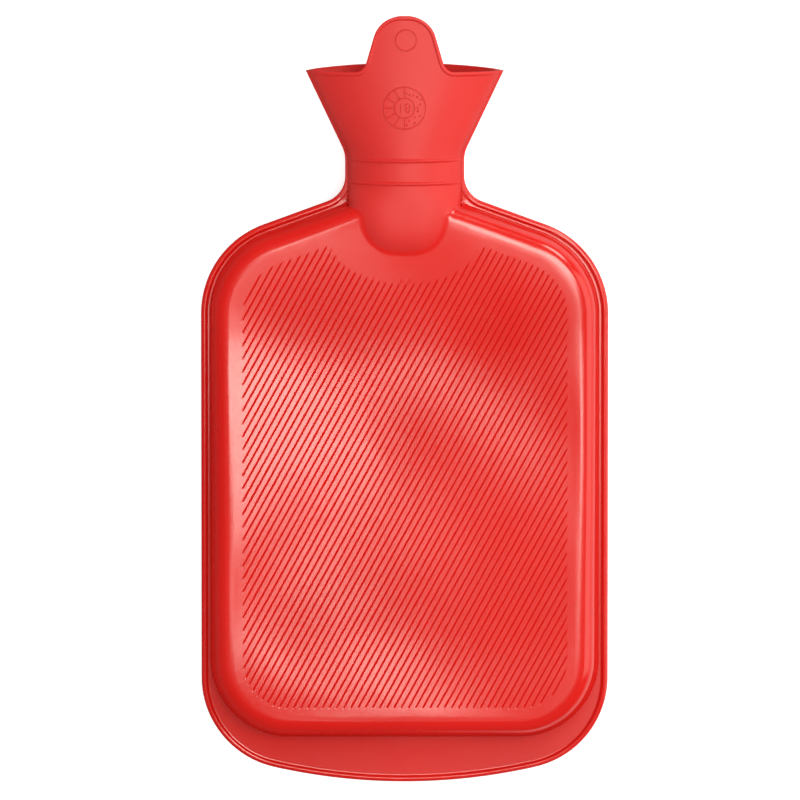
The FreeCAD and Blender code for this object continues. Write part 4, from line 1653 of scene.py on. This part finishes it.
def add_lamp(name, where, target, width, height, watts):
    light = bpy.data.lights.new(name, "AREA")
    light.energy = watts
    light.color = WARM
    light.shape = "RECTANGLE"
    light.size = width
    light.size_y = height
    obj = new_object(name, light)
    obj.location = where
    obj.rotation_euler = (Vector(target) - Vector(where)).to_track_quat("-Z", "Y").to_euler()
    obj.visible_camera = False


def add_camera(scene, stage):
    """Camera over the bottle, tilted round its aim on the seam plane."""
    camera = bpy.data.cameras.new("camera")
    camera.sensor_width = 36.0
    camera.lens = camera.sensor_width * stage.distance / stage.span
    camera.clip_end = 20.0
    obj = new_object("camera", camera)
    aim = Vector((stage.aim_x, stage.aim_y, scene.bottle.seam_z))
    away = Vector((0, math.sin(stage.tilt), math.cos(stage.tilt)))
    obj.location = aim + away * stage.distance
    obj.rotation_euler = (-stage.tilt, 0, 0)
    scene.camera = obj


class BOTTLE_OT_stage(bpy.types.Operator):
    """Adds the floor, the soft lights, the surroundings and the camera"""

    bl_idname = "bottle.stage"
    bl_label = "Stage"

    def execute(self, context):
        scene = context.scene
        add_floor(scene.bottle_stage)
        add_surroundings(scene)
        for lamp in LAMPS:
            add_lamp(*lamp)
        add_camera(scene, scene.bottle_stage)
        scene.view_settings.view_transform = "Standard"
        return {"FINISHED"}


class BOTTLE_PT_panel(bpy.types.Panel):
    bl_label = "Hot Water Bottle"
    bl_idname = "BOTTLE_PT_panel"
    bl_space_type = "VIEW_3D"
    bl_region_type = "UI"
    bl_category = "Bottle"

    def draw(self, context):
        for operator in OPERATORS:
            self.layout.operator(operator.bl_idname)


OPERATORS = (
    BOTTLE_OT_body, BOTTLE_OT_marks, BOTTLE_OT_socket, BOTTLE_OT_washer, BOTTLE_OT_stopper, BOTTLE_OT_stage,
)
GROUPS = (BottleSizes, StopperSizes, BottleLooks, BottleStage)
CLASSES = GROUPS + OPERATORS + (BOTTLE_PT_panel,)


def register():
    for item in CLASSES:
        bpy.utils.register_class(item)
    bpy.types.Scene.bottle = PointerProperty(type=BottleSizes)
    bpy.types.Scene.bottle_stopper = PointerProperty(type=StopperSizes)
    bpy.types.Scene.bottle_looks = PointerProperty(type=BottleLooks)
    bpy.types.Scene.bottle_stage = PointerProperty(type=BottleStage)


def unregister():
    del bpy.types.Scene.bottle
    del bpy.types.Scene.bottle_stopper
    del bpy.types.Scene.bottle_looks
    del bpy.types.Scene.bottle_stage
    for item in reversed(CLASSES):
        bpy.utils.unregister_class(item)


def main():
    register()
    for operator in OPERATORS:
        area, name = operator.bl_idname.split(".")
        getattr(getattr(bpy.ops, area), name)()


if __name__ == "__main__":
    main()
